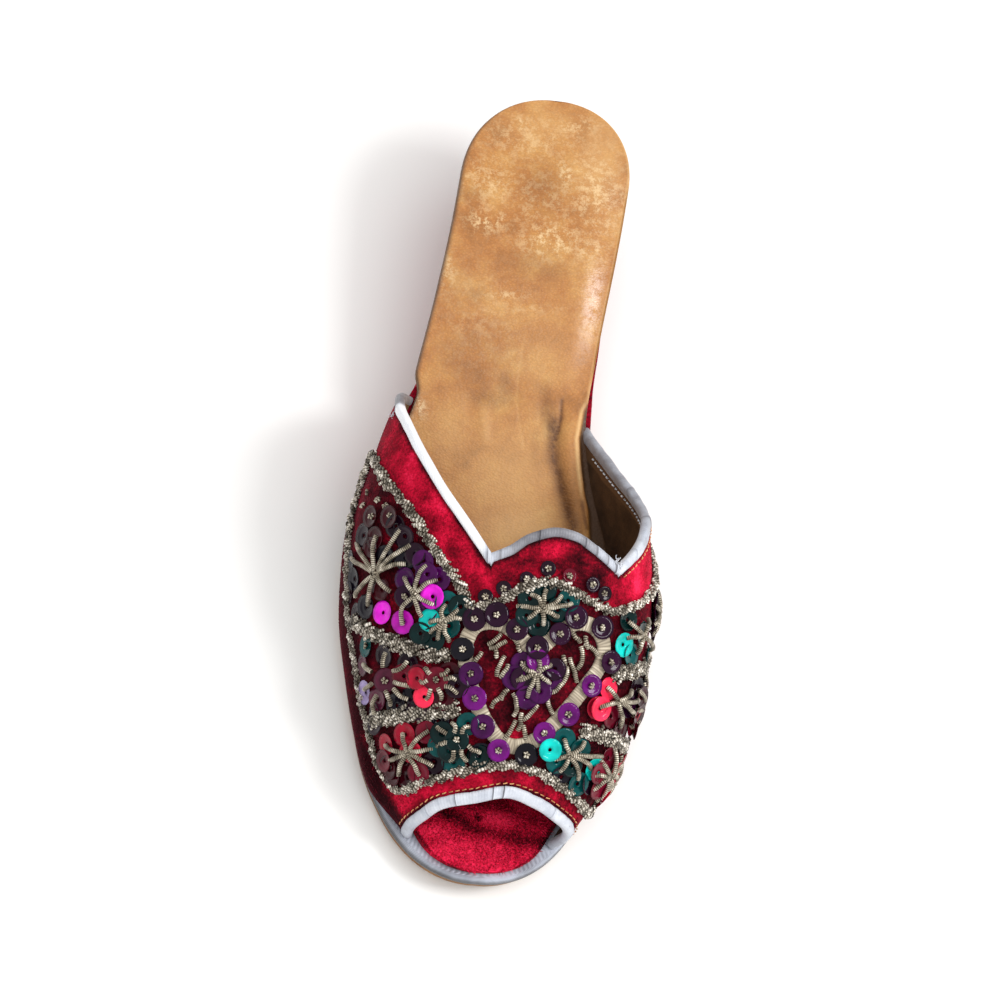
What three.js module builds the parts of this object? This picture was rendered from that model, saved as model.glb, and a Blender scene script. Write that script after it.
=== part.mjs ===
// Wedge mule for the right foot: a velvet upper with an open toe and back, bound edges and couched cord,
// on a cloth-edged platform, a covered wedge and a thin leather outsole.
// Millimetres. +X is the medial side, -Y the toe, +Y the heel and +Z up. The origin is on the floor,
// below the middle of the shoe's box. A station is the distance back from the toe tip.
import * as THREE from 'three';

// Driving sizes
const LENGTH = 240;
const SWING = THREE.MathUtils.degToRad(4);
const GAP = 0.3;
const OUTSOLE_THICKNESS = 2.2;
const PLATFORM_THICKNESS = 4.2;
const INSOLE_THICKNESS = 1.4;
const WALL = 2.0;
const TOE_ROUND = { length: 38, power: 2.2 };
const HEEL_ROUND = { length: 28, power: 2.2 };
const END_REACH = 40;
const HEEL_TUCK = 7;
const PLATFORM_END = 118;
const WEDGE_FRONT = 90;
const TOE_SOCK_END = 46;
const UPPER_SPAN = 75;
const THROAT_BINDING = { width: 3.8, proud: 0.4 };
const TOE_BINDING = { width: 4.4, proud: 0.4 };
const CORD = { width: 3.0, height: 1.7 };
const BAR = { width: 4.6, height: 1.9 };
const BAND = { width: 4.4, height: 0.9 };

// Plan of the platform and wedge: the middle line and the half width at each station
const PLAN = [
  { station: 0, centre: -4.0, half: 29.0 },
  { station: 20, centre: -3.0, half: 31.5 },
  { station: 40, centre: -2.2, half: 36.5 },
  { station: 60, centre: -2.0, half: 40.3 },
  { station: 80, centre: -2.0, half: 42.5 },
  { station: 100, centre: -2.6, half: 41.2 },
  { station: 125, centre: -3.0, half: 33.8 },
  { station: 150, centre: -0.4, half: 27.8 },
  { station: 175, centre: 3.6, half: 26.6 },
  { station: 200, centre: 7.6, half: 26.4 },
  { station: 220, centre: 10.3, half: 26.4 },
  { station: 240, centre: 12.8, half: 26.2 },
];

// Underside of the outsole, with toe spring and a shallow waist arch
const UNDERSIDE = [
  { station: 0, height: 4.6 },
  { station: 10, height: 2.2 },
  { station: 20, height: 0.6 },
  { station: 30, height: 0 },
  { station: 100, height: 0 },
  { station: 122, height: 1.4 },
  { station: 142, height: 2.6 },
  { station: 160, height: 1.6 },
  { station: 178, height: 0 },
  { station: 240, height: 0 },
];

// Rise of the foot's deck over the flat forefoot
const RISE = [
  { station: 0, height: 0 },
  { station: 80, height: 0 },
  { station: 95, height: 1.3 },
  { station: 110, height: 4.3 },
  { station: 130, height: 10.4 },
  { station: 150, height: 17.2 },
  { station: 170, height: 23.6 },
  { station: 190, height: 29.0 },
  { station: 220, height: 33.0 },
  { station: 240, height: 34.2 },
];

// How far the upper's foot stands in from the plan, and the insole's edge from the plan
const INSET = [
  { station: 0, upper: 2.5, insole: 2.7 },
  { station: 8, upper: 2.5, insole: 4.2 },
  { station: 16, upper: 2.5, insole: 6.2 },
  { station: 26, upper: 2.5, insole: 6.4 },
  { station: 40, upper: 2.5, insole: 5.8 },
  { station: 60, upper: 2.5, insole: 5.2 },
  { station: 100, upper: 1.5, insole: 4.2 },
  { station: 128, upper: 0.7, insole: 3.9 },
  { station: 145, upper: 0.7, insole: 3.5 },
  { station: 152, upper: 0.7, insole: 1.0 },
  { station: 175, upper: 0.7, insole: 0.6 },
  { station: 240, upper: 0.7, insole: 0.4 },
];

// The upper's sections: place of its ridge, height over the deck and fullness of each side
const SECTION = [
  { station: 0, ridge: -2.0, height: 13.5, lateral: 0, medial: 3.5 },
  { station: 20, ridge: 0, height: 23.5, lateral: 1.0, medial: 6.0 },
  { station: 40, ridge: 3.0, height: 34.5, lateral: 2.5, medial: 8.5 },
  { station: 60, ridge: 6.0, height: 43.5, lateral: 3.5, medial: 9.5 },
  { station: 80, ridge: 8.0, height: 51.5, lateral: 5.5, medial: 9.0 },
  { station: 100, ridge: 8.5, height: 56.5, lateral: 7.5, medial: 8.0 },
  { station: 120, ridge: 8.5, height: 57.5, lateral: 8.0, medial: 6.0 },
  { station: 150, ridge: 8.5, height: 57.5, lateral: 7.0, medial: 4.0 },
];

// Edges of the upper: across runs from -1 at the lateral foot over 0 at the ridge to 1 at the medial foot
const LATERAL_NOTCH = -0.20;
const MEDIAL_NOTCH = 0.26;
const LATERAL_QUARTER = [
  { across: -1, station: 143 },
  { across: -0.84, station: 136 },
  { across: -0.6, station: 121.5 },
  { across: -0.425, station: 106 },
  { across: -0.315, station: 93 },
  { across: LATERAL_NOTCH, station: 80.5 },
];
const TONGUE = [
  { across: LATERAL_NOTCH, station: 80.5 },
  { across: -0.15, station: 83.2 },
  { across: -0.09, station: 87 },
  { across: -0.01, station: 89 },
  { across: 0.06, station: 88 },
  { across: 0.145, station: 84.6 },
  { across: MEDIAL_NOTCH, station: 81.5 },
];
const MEDIAL_QUARTER = [
  { across: MEDIAL_NOTCH, station: 81.5 },
  { across: 0.33, station: 86.5 },
  { across: 0.41, station: 92 },
  { across: 0.5, station: 99 },
  { across: 0.62, station: 107 },
  { across: 0.75, station: 118 },
  { across: 0.88, station: 130 },
  { across: 1, station: 141 },
];
const TOE_EDGE = [
  { across: -1, station: 12 },
  { across: -0.635, station: 13.8 },
  { across: -0.425, station: 16.0 },
  { across: -0.2, station: 17 },
  { across: 0, station: 18.6 },
  { across: 0.165, station: 16.8 },
  { across: 0.395, station: 14 },
  { across: 0.7, station: 12.5 },
  { across: 1, station: 12 },
];

// Couched cord round the embroidered field, closed, from the lateral notch over the tongue
const BORDER = [
  { across: -0.26, station: 67.5 }, { across: -0.17, station: 68.6 }, { across: -0.1, station: 72.5 },
  { across: -0.03, station: 74.3 }, { across: 0.06, station: 72.8 }, { across: 0.15, station: 70.6 },
  { across: 0.25, station: 69.5 }, { across: 0.38, station: 73.5 }, { across: 0.5, station: 79.5 },
  { across: 0.62, station: 88 }, { across: 0.72, station: 98 }, { across: 0.8, station: 109 },
  { across: 0.85, station: 98 }, { across: 0.88, station: 84 }, { across: 0.89, station: 63 },
  { across: 0.87, station: 46 }, { across: 0.83, station: 32 }, { across: 0.76, station: 21.5 },
  { across: 0.6, station: 20 }, { across: 0.42, station: 21 }, { across: 0.23, station: 23.8 },
  { across: 0.07, station: 26.6 }, { across: -0.06, station: 27.3 }, { across: -0.21, station: 26 },
  { across: -0.45, station: 23.8 }, { across: -0.76, station: 24 }, { across: -0.82, station: 31 },
  { across: -0.87, station: 46 }, { across: -0.89, station: 63 }, { across: -0.88, station: 84 },
  { across: -0.85, station: 104 }, { across: -0.8, station: 119 }, { across: -0.6, station: 107 },
  { across: -0.48, station: 96.8 }, { across: -0.38, station: 84 }, { across: -0.3, station: 73.4 },
];
// Heart of satin stitch in the middle, closed, from the dip at its top
const MEDALLION = [
  { across: -0.03, station: 56.6 }, { across: -0.1, station: 60.5 }, { across: -0.17, station: 63.2 },
  { across: -0.24, station: 62.6 }, { across: -0.275, station: 58 }, { across: -0.27, station: 53 },
  { across: -0.25, station: 48 }, { across: -0.21, station: 42 }, { across: -0.16, station: 37 },
  { across: -0.1, station: 33.2 }, { across: -0.02, station: 31.8 }, { across: 0.05, station: 33.4 },
  { across: 0.1, station: 37 }, { across: 0.15, station: 42 }, { across: 0.205, station: 49 },
  { across: 0.245, station: 55 }, { across: 0.24, station: 60.5 }, { across: 0.19, station: 64 },
  { across: 0.11, station: 64.6 }, { across: 0.04, station: 61 },
];
// Double rows of cord that part each wing into three cells
const WING_BARS = {
  lateral_upper_bar: [
    { across: -0.83, station: 72.5 }, { across: -0.69, station: 65.6 }, { across: -0.52, station: 59.3 },
    { across: -0.4, station: 55.7 }, { across: -0.34, station: 54.8 },
  ],
  lateral_lower_bar: [
    { across: -0.81, station: 43.5 }, { across: -0.73, station: 42.5 }, { across: -0.55, station: 41.3 },
    { across: -0.39, station: 40.7 }, { across: -0.29, station: 41 },
  ],
  medial_upper_bar: [
    { across: 0.32, station: 53.8 }, { across: 0.46, station: 57.2 }, { across: 0.6, station: 61.5 },
    { across: 0.72, station: 67 }, { across: 0.83, station: 72.5 },
  ],
  medial_lower_bar: [
    { across: 0.25, station: 38 }, { across: 0.4, station: 38 }, { across: 0.58, station: 38.5 },
    { across: 0.72, station: 40.5 }, { across: 0.81, station: 42.5 },
  ],
};

// Slopes of a smooth curve through a table's column that never overshoots its rows
function slopesOf(x, y) {
  const last = x.length - 1;
  const rise = x.slice(1).map((value, i) => (y[i + 1] - y[i]) / (value - x[i]));
  return x.map((_, i) => {
    if (i === 0) return rise[0];
    if (i === last) return rise[last - 1];
    if (rise[i - 1] * rise[i] <= 0) return 0;
    const before = x[i] - x[i - 1];
    const after = x[i + 1] - x[i];
    const a = 2 * after + before;
    const b = after + 2 * before;
    return (a + b) / (a / rise[i - 1] + b / rise[i]);
  });
}

function curve(table, along, column) {
  const x = table.map((row) => row[along]);
  const y = table.map((row) => row[column]);
  const slope = slopesOf(x, y);
  return (value) => {
    let i = x.findIndex((start) => start > value) - 1;
    if (i === -2) i = x.length - 2;
    if (i === -1) i = 0;
    const width = x[i + 1] - x[i];
    const u = THREE.MathUtils.clamp((value - x[i]) / width, 0, 1);
    const v = 1 - u;
    const ends = y[i] * v * v * (1 + 2 * u) + y[i + 1] * u * u * (1 + 2 * v);
    return ends + width * u * v * (slope[i] * v - slope[i + 1] * u);
  };
}

const planCentre = curve(PLAN, 'station', 'centre');
const planHalf = curve(PLAN, 'station', 'half');
const underside = curve(UNDERSIDE, 'station', 'height');
const rise = curve(RISE, 'station', 'height');
const upperInset = curve(INSET, 'station', 'upper');
const insoleInset = curve(INSET, 'station', 'insole');
const ridgeAt = curve(SECTION, 'station', 'ridge');
const heightAt = curve(SECTION, 'station', 'height');
const lateralFullness = curve(SECTION, 'station', 'lateral');
const medialFullness = curve(SECTION, 'station', 'medial');
const lateralQuarter = curve(LATERAL_QUARTER, 'across', 'station');
const tongue = curve(TONGUE, 'across', 'station');
const medialQuarter = curve(MEDIAL_QUARTER, 'across', 'station');
const toeEdge = curve(TOE_EDGE, 'across', 'station');

const outsoleTop = (station) => underside(station) + OUTSOLE_THICKNESS;
const platformTop = (station) => outsoleTop(Math.min(station, 100)) + GAP + PLATFORM_THICKNESS;
const deck = (station) => platformTop(station) + rise(station);

function throatEdge(across) {
  if (across < LATERAL_NOTCH) return lateralQuarter(across);
  if (across < MEDIAL_NOTCH) return tongue(across);
  return medialQuarter(across);
}

// Half width factor of an outline that is rounded at the toe and the heel
function rounded(station, toeInset, heelInset) {
  const toe = THREE.MathUtils.clamp(1 - (station - toeInset) / (TOE_ROUND.length - toeInset), 0, 1);
  const heel = THREE.MathUtils.clamp(
    1 - (LENGTH - heelInset - station) / (HEEL_ROUND.length - heelInset), 0, 1);
  const toePart = (1 - toe ** TOE_ROUND.power) ** (1 / TOE_ROUND.power);
  const heelPart = (1 - heel ** HEEL_ROUND.power) ** (1 / HEEL_ROUND.power);
  return toePart * heelPart;
}

// A point of the plan, turned so that the toe tip and the heel lie on one line along Y
function place(x, station, z) {
  const point = new THREE.Vector3(x, station - LENGTH / 2, z);
  return point.applyAxisAngle(new THREE.Vector3(0, 0, 1), SWING);
}

// A point of the upper's outer face
function upperPoint(across, station) {
  const side = Math.sign(across) || 1;
  const angle = (1 - Math.abs(across)) * Math.PI / 2;
  const half = planHalf(station) * rounded(station, 0, 0) - upperInset(station);
  const foot = planCentre(station) + side * half;
  const fullness = side < 0 ? -lateralFullness(station) : medialFullness(station);
  const ridge = ridgeAt(station);
  const x = ridge + (foot - ridge) * Math.cos(angle) + fullness * Math.sin(2 * angle);
  return place(x, station, deck(station) + GAP + heightAt(station) * Math.sin(angle));
}

// The upper's outward normal, from its slopes across and along
function upperNormal(across, station) {
  const step = 0.004;
  const from = Math.max(across - step, -1);
  const to = Math.min(across + step, 1);
  const acrossward = upperPoint(to, station).sub(upperPoint(from, station));
  const backward = upperPoint(across, station + 0.2).sub(upperPoint(across, station - 0.2));
  return acrossward.cross(backward).normalize();
}

function onUpper(across, station, offset) {
  return upperPoint(across, station).addScaledVector(upperNormal(across, station), offset);
}

// Length along the stations that lies a given width in from an edge, square to that edge
function depthFromEdge(edge, across, width) {
  const oneSided = (step) => {
    const near = THREE.MathUtils.clamp(across + step, -1, 1);
    const far = near === across ? across - step : across;
    const along = upperPoint(near, edge(near)).sub(upperPoint(far, edge(far))).normalize();
    const backward = upperPoint(across, edge(across) + 0.5).sub(upperPoint(across, edge(across) - 0.5));
    return width / backward.addScaledVector(along, -along.dot(backward)).length();
  };
  return (oneSided(0.012) + oneSided(-0.012)) / 2;
}

// A closed solid through rings of points, each going round the same way, up one side and down the other
function loft(rings, closed = false) {
  const size = rings[0].length;
  const points = rings.flat();
  const faces = [];
  const joins = closed ? rings.length : rings.length - 1;
  for (let i = 0; i < joins; i += 1) {
    const next = (i + 1) % rings.length;
    for (let j = 0; j < size; j += 1) {
      const k = (j + 1) % size;
      faces.push(i * size + j, next * size + j, next * size + k);
      faces.push(i * size + j, next * size + k, i * size + k);
    }
  }
  if (!closed) {
    const end = (rings.length - 1) * size;
    for (let j = 0; j < size / 2 - 1; j += 1) {
      const [a, b, c, d] = [j, j + 1, size - 2 - j, size - 1 - j];
      faces.push(a, b, c, a, c, d);
      faces.push(end + a, end + c, end + b, end + a, end + d, end + c);
    }
  }
  return solid(points, faces);
}

// A geometry whose faces look outwards, whichever way its rings ran
function solid(points, faces) {
  let volume = 0;
  for (let i = 0; i < faces.length; i += 3) {
    const [a, b, c] = faces.slice(i, i + 3).map((index) => points[index]);
    volume += a.dot(b.clone().cross(c));
  }
  const outward = volume < 0 ? faces.slice().reverse() : faces;
  const geometry = new THREE.BufferGeometry().setFromPoints(points);
  geometry.setIndex(outward);
  geometry.computeVertexNormals();
  return geometry;
}

// Stations from one place to another, closer together towards a rounded end
function spread(from, to, count, roundStart, roundEnd) {
  const stations = [];
  for (let i = 0; i <= count; i += 1) {
    const u = i / count;
    const atStart = 1 - Math.cos(u * Math.PI / 2);
    const atEnd = Math.sin(u * Math.PI / 2);
    const both = (1 - Math.cos(u * Math.PI)) / 2;
    const eased = roundStart && roundEnd ? both : roundStart ? atStart : roundEnd ? atEnd : u;
    stations.push(from + (to - from) * eased);
  }
  return stations;
}

// A bent plate: each layer, from the bottom up, has its height and how far its outline stands in
function plate(stations, layers) {
  const rings = stations.map((station) => {
    const lateral = [];
    const medial = [];
    for (const { height, inset, toeInset = 0, heelInset = 0, shift = () => 0 } of layers) {
      const nearToe = Math.max(1 - station / END_REACH, 0);
      const nearHeel = Math.max(1 - (LENGTH - station) / END_REACH, 0);
      const kept = station + toeInset * nearToe - heelInset * nearHeel;
      const half = (planHalf(kept) - inset(kept)) * rounded(kept, toeInset, heelInset);
      const middle = planCentre(kept) + shift(kept);
      lateral.push(place(middle - half, kept, height(station, kept)));
      medial.unshift(place(middle + half, kept, height(station, kept)));
    }
    return [...lateral, ...medial];
  });
  return loft(rings);
}

// How far the wedge's foot and the outsole draw in under the heel
const heelTuck = (at) => THREE.MathUtils.smoothstep(at, PLATFORM_END, 165) * HEEL_TUCK;

function outsole() {
  const inset = (at) => 0.9 + heelTuck(at) * 0.93;
  const heelInset = HEEL_TUCK + 0.6;
  return plate(spread(0.06, LENGTH - 0.06, 56, true, true), [
    {
      height: (_, at) => underside(at),
      inset: (at) => inset(at) + 0.5,
      toeInset: 1.4,
      heelInset: heelInset + 0.5,
    },
    { height: (_, at) => underside(at) + 0.5, inset, toeInset: 0.9, heelInset },
    { height: (_, at) => outsoleTop(at), inset, toeInset: 0.9, heelInset },
  ]);
}

// Platform with a half-round cloth edge
function platform() {
  const bottom = (at) => outsoleTop(at) + GAP;
  const edge = [
    { share: 0, inset: 1.3 }, { share: 0.25, inset: 0.3 }, { share: 0.5, inset: 0 },
    { share: 0.75, inset: 0.35 }, { share: 1, inset: 1.5 },
  ];
  return plate(spread(0.06, PLATFORM_END, 34, true, false), edge.map(({ share, inset }) => ({
    height: (_, at) => bottom(at) + share * (platformTop(at) - bottom(at)),
    inset: () => inset,
    toeInset: inset,
  })));
}

// Wedge that rides on the platform's rear end and stands on the outsole behind it; its top shows
// beyond the insole at the medial waist and is hidden below the insole elsewhere
function wedge() {
  const waist = (at) => THREE.MathUtils.smoothstep(at, 138, 150) - THREE.MathUtils.smoothstep(at, 160, 182);
  const behind = (at) => THREE.MathUtils.smoothstep(at, 140, 152);
  const rim = (at) => Math.max(upperInset(at) - 0.7, 0) + 0.9 * behind(at);
  const shift = (at) => 1.3 * waist(at);
  const foot = (station, at) => (station > PLATFORM_END + GAP ? outsoleTop(at) : platformTop(at)) + GAP;
  const between = (share) => (station, at) => THREE.MathUtils.lerp(foot(station, at), deck(at), share);
  const tucked = (share) => (at) => rim(at) + share * heelTuck(at);
  const step = PLATFORM_END + GAP;
  const stations = [
    ...spread(WEDGE_FRONT, step, 6, false, false),
    ...spread(step + 0.05, LENGTH - 0.06, 34, false, true),
  ];
  return plate(stations, [
    { height: between(0), inset: tucked(1), heelInset: HEEL_TUCK + 1, shift },
    { height: between(0.45), inset: tucked(0.62), heelInset: HEEL_TUCK * 0.62 + 1, shift },
    { height: between(0.9), inset: tucked(0.08), heelInset: 1.2, shift },
    { height: between(1), inset: (at) => rim(at) + 0.6, heelInset: 1.6, shift },
  ]);
}

// Insole layer between two stations, lying on the deck
function insolePiece(stations, toeInset, heelInset) {
  const bottom = (at) => deck(at) + GAP;
  return plate(stations, [
    { height: (_, at) => bottom(at), inset: insoleInset, toeInset, heelInset },
    { height: (_, at) => bottom(at) + 0.9, inset: insoleInset, toeInset, heelInset },
    {
      height: (_, at) => bottom(at) + INSOLE_THICKNESS,
      inset: (at) => insoleInset(at) + 0.5,
      toeInset: toeInset && toeInset + 0.5,
      heelInset: heelInset && heelInset + 0.5,
    },
  ]);
}

// Places across the upper, with a column on each notch of the throat
function acrossColumns(perPart) {
  const columns = [];
  const parts = [[-1, LATERAL_NOTCH], [LATERAL_NOTCH, MEDIAL_NOTCH], [MEDIAL_NOTCH, 1]];
  for (const [from, to] of parts) {
    for (let i = 0; i < perPart; i += 1) columns.push(from + (to - from) * i / perPart);
  }
  return [...columns, 1];
}

// The velvet upper between its two bindings, as one wall
function upper() {
  const rows = 18;
  const rings = acrossColumns(15).map((across) => {
    const front = toeEdge(across) + depthFromEdge(toeEdge, across, TOE_BINDING.width + GAP);
    const back = throatEdge(across) - depthFromEdge(throatEdge, across, THROAT_BINDING.width + GAP);
    const outer = [];
    const inner = [];
    for (let i = 0; i <= rows; i += 1) {
      const station = front + (back - front) * i / rows;
      outer.push(onUpper(across, station, 0));
      inner.unshift(onUpper(across, station, -WALL));
    }
    return [...outer, ...inner];
  });
  return loft(rings);
}

// A rolled strip along an edge of the upper; sense is 1 where the upper lies behind the edge
function binding(edge, { width, proud }, sense) {
  const section = [
    { inward: 0, offset: -0.1 }, { inward: 0.18, offset: proud }, { inward: 0.82, offset: proud },
    { inward: 1, offset: 0.1 }, { inward: 1, offset: -WALL - 0.1 }, { inward: 0.82, offset: -WALL - proud },
    { inward: 0.18, offset: -WALL - proud }, { inward: 0, offset: -WALL + 0.1 },
  ];
  const rings = acrossColumns(16).map((across) => {
    const depth = sense * depthFromEdge(edge, across, width);
    return section.map(({ inward, offset }) => onUpper(across, edge(across) + depth * inward, offset));
  });
  return loft(rings);
}

// A low rib laid on the upper along a path, rounded on top
function rib(path, { width, height }, pitch, closed = false) {
  const places = path.map(({ across, station }) => new THREE.Vector3(across * UPPER_SPAN, station, 0));
  const line = new THREE.CatmullRomCurve3(places, closed, 'centripetal');
  const count = Math.round(line.getLength() / pitch);
  const samples = line.getSpacedPoints(count).slice(0, closed ? count : count + 1);
  const section = [
    { side: -0.5, lift: GAP }, { side: -0.45, lift: height * 0.6 }, { side: -0.22, lift: height },
    { side: 0.22, lift: height }, { side: 0.45, lift: height * 0.6 }, { side: 0.5, lift: GAP },
  ];
  const at = (index) => {
    const wrapped = closed ? (index + count) % count : THREE.MathUtils.clamp(index, 0, count);
    return upperPoint(samples[wrapped].x / UPPER_SPAN, samples[wrapped].y);
  };
  const rings = samples.map((sample, i) => {
    const normal = upperNormal(sample.x / UPPER_SPAN, sample.y);
    const along = at(i + 1).sub(at(i - 1));
    const sideways = normal.clone().cross(along).normalize();
    return section.map(({ side, lift }) => (
      at(i).addScaledVector(sideways, side * width).addScaledVector(normal, lift)
    ));
  });
  return loft(rings, closed);
}

function mesh(name, geometry, colour, roughness) {
  const material = new THREE.MeshStandardMaterial({ color: colour, roughness });
  const piece = new THREE.Mesh(geometry, material);
  piece.name = name;
  return piece;
}

const COLOUR = {
  leather: '#b98345', hide: '#8a6236', velvet: '#8e1024', cloth: '#a9abb2', satin: '#dcdfe4', cord: '#9a917f',
};

const insoleStations = spread(TOE_SOCK_END, LENGTH - 0.06, 40, false, true);
const sockStations = spread(0.06, TOE_SOCK_END - GAP, 16, true, false);
const bars = Object.entries(WING_BARS).map(([name, path]) => mesh(name, rib(path, BAR, 4), COLOUR.cord, 0.6));
const pieces = [
  mesh('outsole', outsole(), COLOUR.hide, 0.7),
  mesh('platform', platform(), COLOUR.cloth, 0.6),
  mesh('wedge', wedge(), COLOUR.velvet, 0.9),
  mesh('insole', insolePiece(insoleStations, 0, 0.4), COLOUR.leather, 0.5),
  mesh('toe_sock', insolePiece(sockStations, 2.7, 0), COLOUR.velvet, 0.9),
  mesh('upper', upper(), COLOUR.velvet, 0.9),
  mesh('throat_binding', binding(throatEdge, THROAT_BINDING, -1), COLOUR.satin, 0.5),
  mesh('toe_binding', binding(toeEdge, TOE_BINDING, 1), COLOUR.satin, 0.5),
  mesh('border_cord', rib(BORDER, CORD, 3.4, true), COLOUR.cord, 0.6),
  mesh('medallion_band', rib(MEDALLION, BAND, 3.4, true), COLOUR.cord, 0.6),
  ...bars,
];

// The origin goes below the middle of the whole shoe's box
const box = new THREE.Box3();
for (const piece of pieces) box.expandByObject(piece);
const middle = box.getCenter(new THREE.Vector3());
for (const piece of pieces) piece.geometry.translate(-middle.x, -middle.y, 0);

const shoe = new THREE.Group();
shoe.name = 'wedge_mule';
shoe.add(...pieces);

export default shoe;
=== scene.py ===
"""Looks of a wedge mule for the right foot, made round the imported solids: crushed velvet, satin bindings,
couched coil cord, cup sequins and bullion flowers. Points are in millimetres until they become a mesh, in
metres."""
import math

import bpy
import numpy as np
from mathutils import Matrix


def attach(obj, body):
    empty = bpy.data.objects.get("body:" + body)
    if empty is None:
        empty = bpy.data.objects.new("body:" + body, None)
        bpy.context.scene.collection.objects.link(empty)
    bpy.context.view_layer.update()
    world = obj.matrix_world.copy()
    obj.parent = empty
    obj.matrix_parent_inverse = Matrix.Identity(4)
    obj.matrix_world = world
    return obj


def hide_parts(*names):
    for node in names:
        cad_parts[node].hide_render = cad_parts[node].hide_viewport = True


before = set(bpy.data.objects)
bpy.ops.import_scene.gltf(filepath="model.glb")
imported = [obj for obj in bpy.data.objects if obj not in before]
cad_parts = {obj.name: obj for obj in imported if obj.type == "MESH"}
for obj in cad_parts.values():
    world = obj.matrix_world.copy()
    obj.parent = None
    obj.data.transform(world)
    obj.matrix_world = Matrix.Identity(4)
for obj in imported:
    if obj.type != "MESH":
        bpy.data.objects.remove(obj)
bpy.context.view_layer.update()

MM = 0.001

# Sizes shared with the solids
LENGTH = 240
SWING = math.radians(4)
BOX_MIDDLE = (1.1905, 0.1077)
GAP = 0.3
OUTSOLE_THICKNESS = 2.2
PLATFORM_THICKNESS = 4.2
INSOLE_THICKNESS = 1.4
WALL = 2.0
TOE_ROUND = {"length": 38, "power": 2.2}
HEEL_ROUND = {"length": 28, "power": 2.2}
END_REACH = 40
HEEL_TUCK = 7
PLATFORM_END = 118
WEDGE_FRONT = 90
TOE_SOCK_END = 46
FLAT_END = 100
UPPER_SPAN = 75
BAND = {"width": 4.4, "height": 0.9}
# Ribbons as wide as they look, which is narrower than their solids
THROAT_BINDING = {"width": 2.8, "proud": 0.4}
TOE_BINDING = {"width": 3.5, "proud": 0.4}

# Tables shared with the solids; a station is the distance back from the toe tip
PLAN = {
    "station": (0, 20, 40, 60, 80, 100, 125, 150, 175, 200, 220, 240),
    "centre": (-4.0, -3.0, -2.2, -2.0, -2.0, -2.6, -3.0, -0.4, 3.6, 7.6, 10.3, 12.8),
    "half": (29.0, 31.5, 36.5, 40.3, 42.5, 41.2, 33.8, 27.8, 26.6, 26.4, 26.4, 26.2),
}
UNDERSIDE = {
    "station": (0, 10, 20, 30, 100, 122, 142, 160, 178, 240),
    "height": (4.6, 2.2, 0.6, 0, 0, 1.4, 2.6, 1.6, 0, 0),
}
RISE = {
    "station": (0, 80, 95, 110, 130, 150, 170, 190, 220, 240),
    "height": (0, 0, 1.3, 4.3, 10.4, 17.2, 23.6, 29.0, 33.0, 34.2),
}
INSET = {
    "station": (0, 8, 16, 26, 40, 60, 100, 128, 145, 152, 175, 240),
    "upper": (2.5, 2.5, 2.5, 2.5, 2.5, 2.5, 1.5, 0.7, 0.7, 0.7, 0.7, 0.7),
    "insole": (2.7, 4.2, 6.2, 6.4, 5.8, 5.2, 4.2, 3.9, 3.5, 1.0, 0.6, 0.4),
}
SECTION = {
    "station": (0, 20, 40, 60, 80, 100, 120, 150),
    "ridge": (-2.0, 0, 3.0, 6.0, 8.0, 8.5, 8.5, 8.5),
    "height": (13.5, 23.5, 34.5, 43.5, 51.5, 56.5, 57.5, 57.5),
    "lateral": (0, 1.0, 2.5, 3.5, 5.5, 7.5, 8.0, 7.0),
    "medial": (3.5, 6.0, 8.5, 9.5, 9.0, 8.0, 6.0, 4.0),
}
# Across runs over the upper from -1 at the lateral foot, with 0 at the ridge, to 1 at the medial foot
LATERAL_NOTCH = -0.20
MEDIAL_NOTCH = 0.26
# Free edges of the upper as the photo shows them, up to 2.4 mm past the edge of the solid
LATERAL_QUARTER = {
    "across": (-1, -0.84, -0.6, -0.425, -0.315, LATERAL_NOTCH),
    "station": (145, 139.5, 125.5, 110, 96.5, 81.6),
}
TONGUE = {
    "across": (LATERAL_NOTCH, -0.15, -0.09, -0.01, 0.06, 0.145, MEDIAL_NOTCH),
    "station": (81.6, 83.4, 86.8, 88.8, 88.2, 85.8, 82),
}
MEDIAL_QUARTER = {
    "across": (MEDIAL_NOTCH, 0.33, 0.41, 0.5, 0.62, 0.75, 0.88, 1),
    "station": (82, 86.5, 92, 99, 107, 118, 130, 141),
}
TOE_EDGE = {
    "across": (-1, -0.635, -0.425, -0.2, 0, 0.165, 0.395, 0.7, 1),
    "station": (12, 13.8, 16.0, 17, 18.6, 16.8, 14, 12.5, 12),
}
# Paths on the upper as rows of across and station
BORDER = (
    (-0.26, 67.5), (-0.17, 68.6), (-0.1, 72.5), (-0.03, 74.3), (0.06, 72.8), (0.15, 70.6), (0.25, 69.5),
    (0.38, 73.5), (0.5, 79.5), (0.62, 88), (0.72, 98), (0.8, 109), (0.85, 98), (0.88, 84), (0.89, 63),
    (0.87, 46), (0.83, 32), (0.76, 21.5), (0.6, 20), (0.42, 21), (0.23, 23.8), (0.07, 26.6), (-0.06, 27.3),
    (-0.21, 26), (-0.45, 23.8), (-0.76, 24), (-0.82, 31), (-0.87, 46), (-0.89, 63), (-0.88, 84),
    (-0.85, 104), (-0.8, 119), (-0.6, 107), (-0.48, 96.8), (-0.38, 84), (-0.3, 73.4),
)
MEDALLION = (
    (-0.03, 56.6), (-0.1, 60.5), (-0.17, 63.2), (-0.24, 62.6), (-0.275, 58), (-0.27, 53), (-0.25, 48),
    (-0.21, 42), (-0.16, 37), (-0.1, 33.2), (-0.02, 31.8), (0.05, 33.4), (0.1, 37), (0.15, 42), (0.205, 49),
    (0.245, 55), (0.24, 60.5), (0.19, 64), (0.11, 64.6), (0.04, 61),
)
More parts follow.
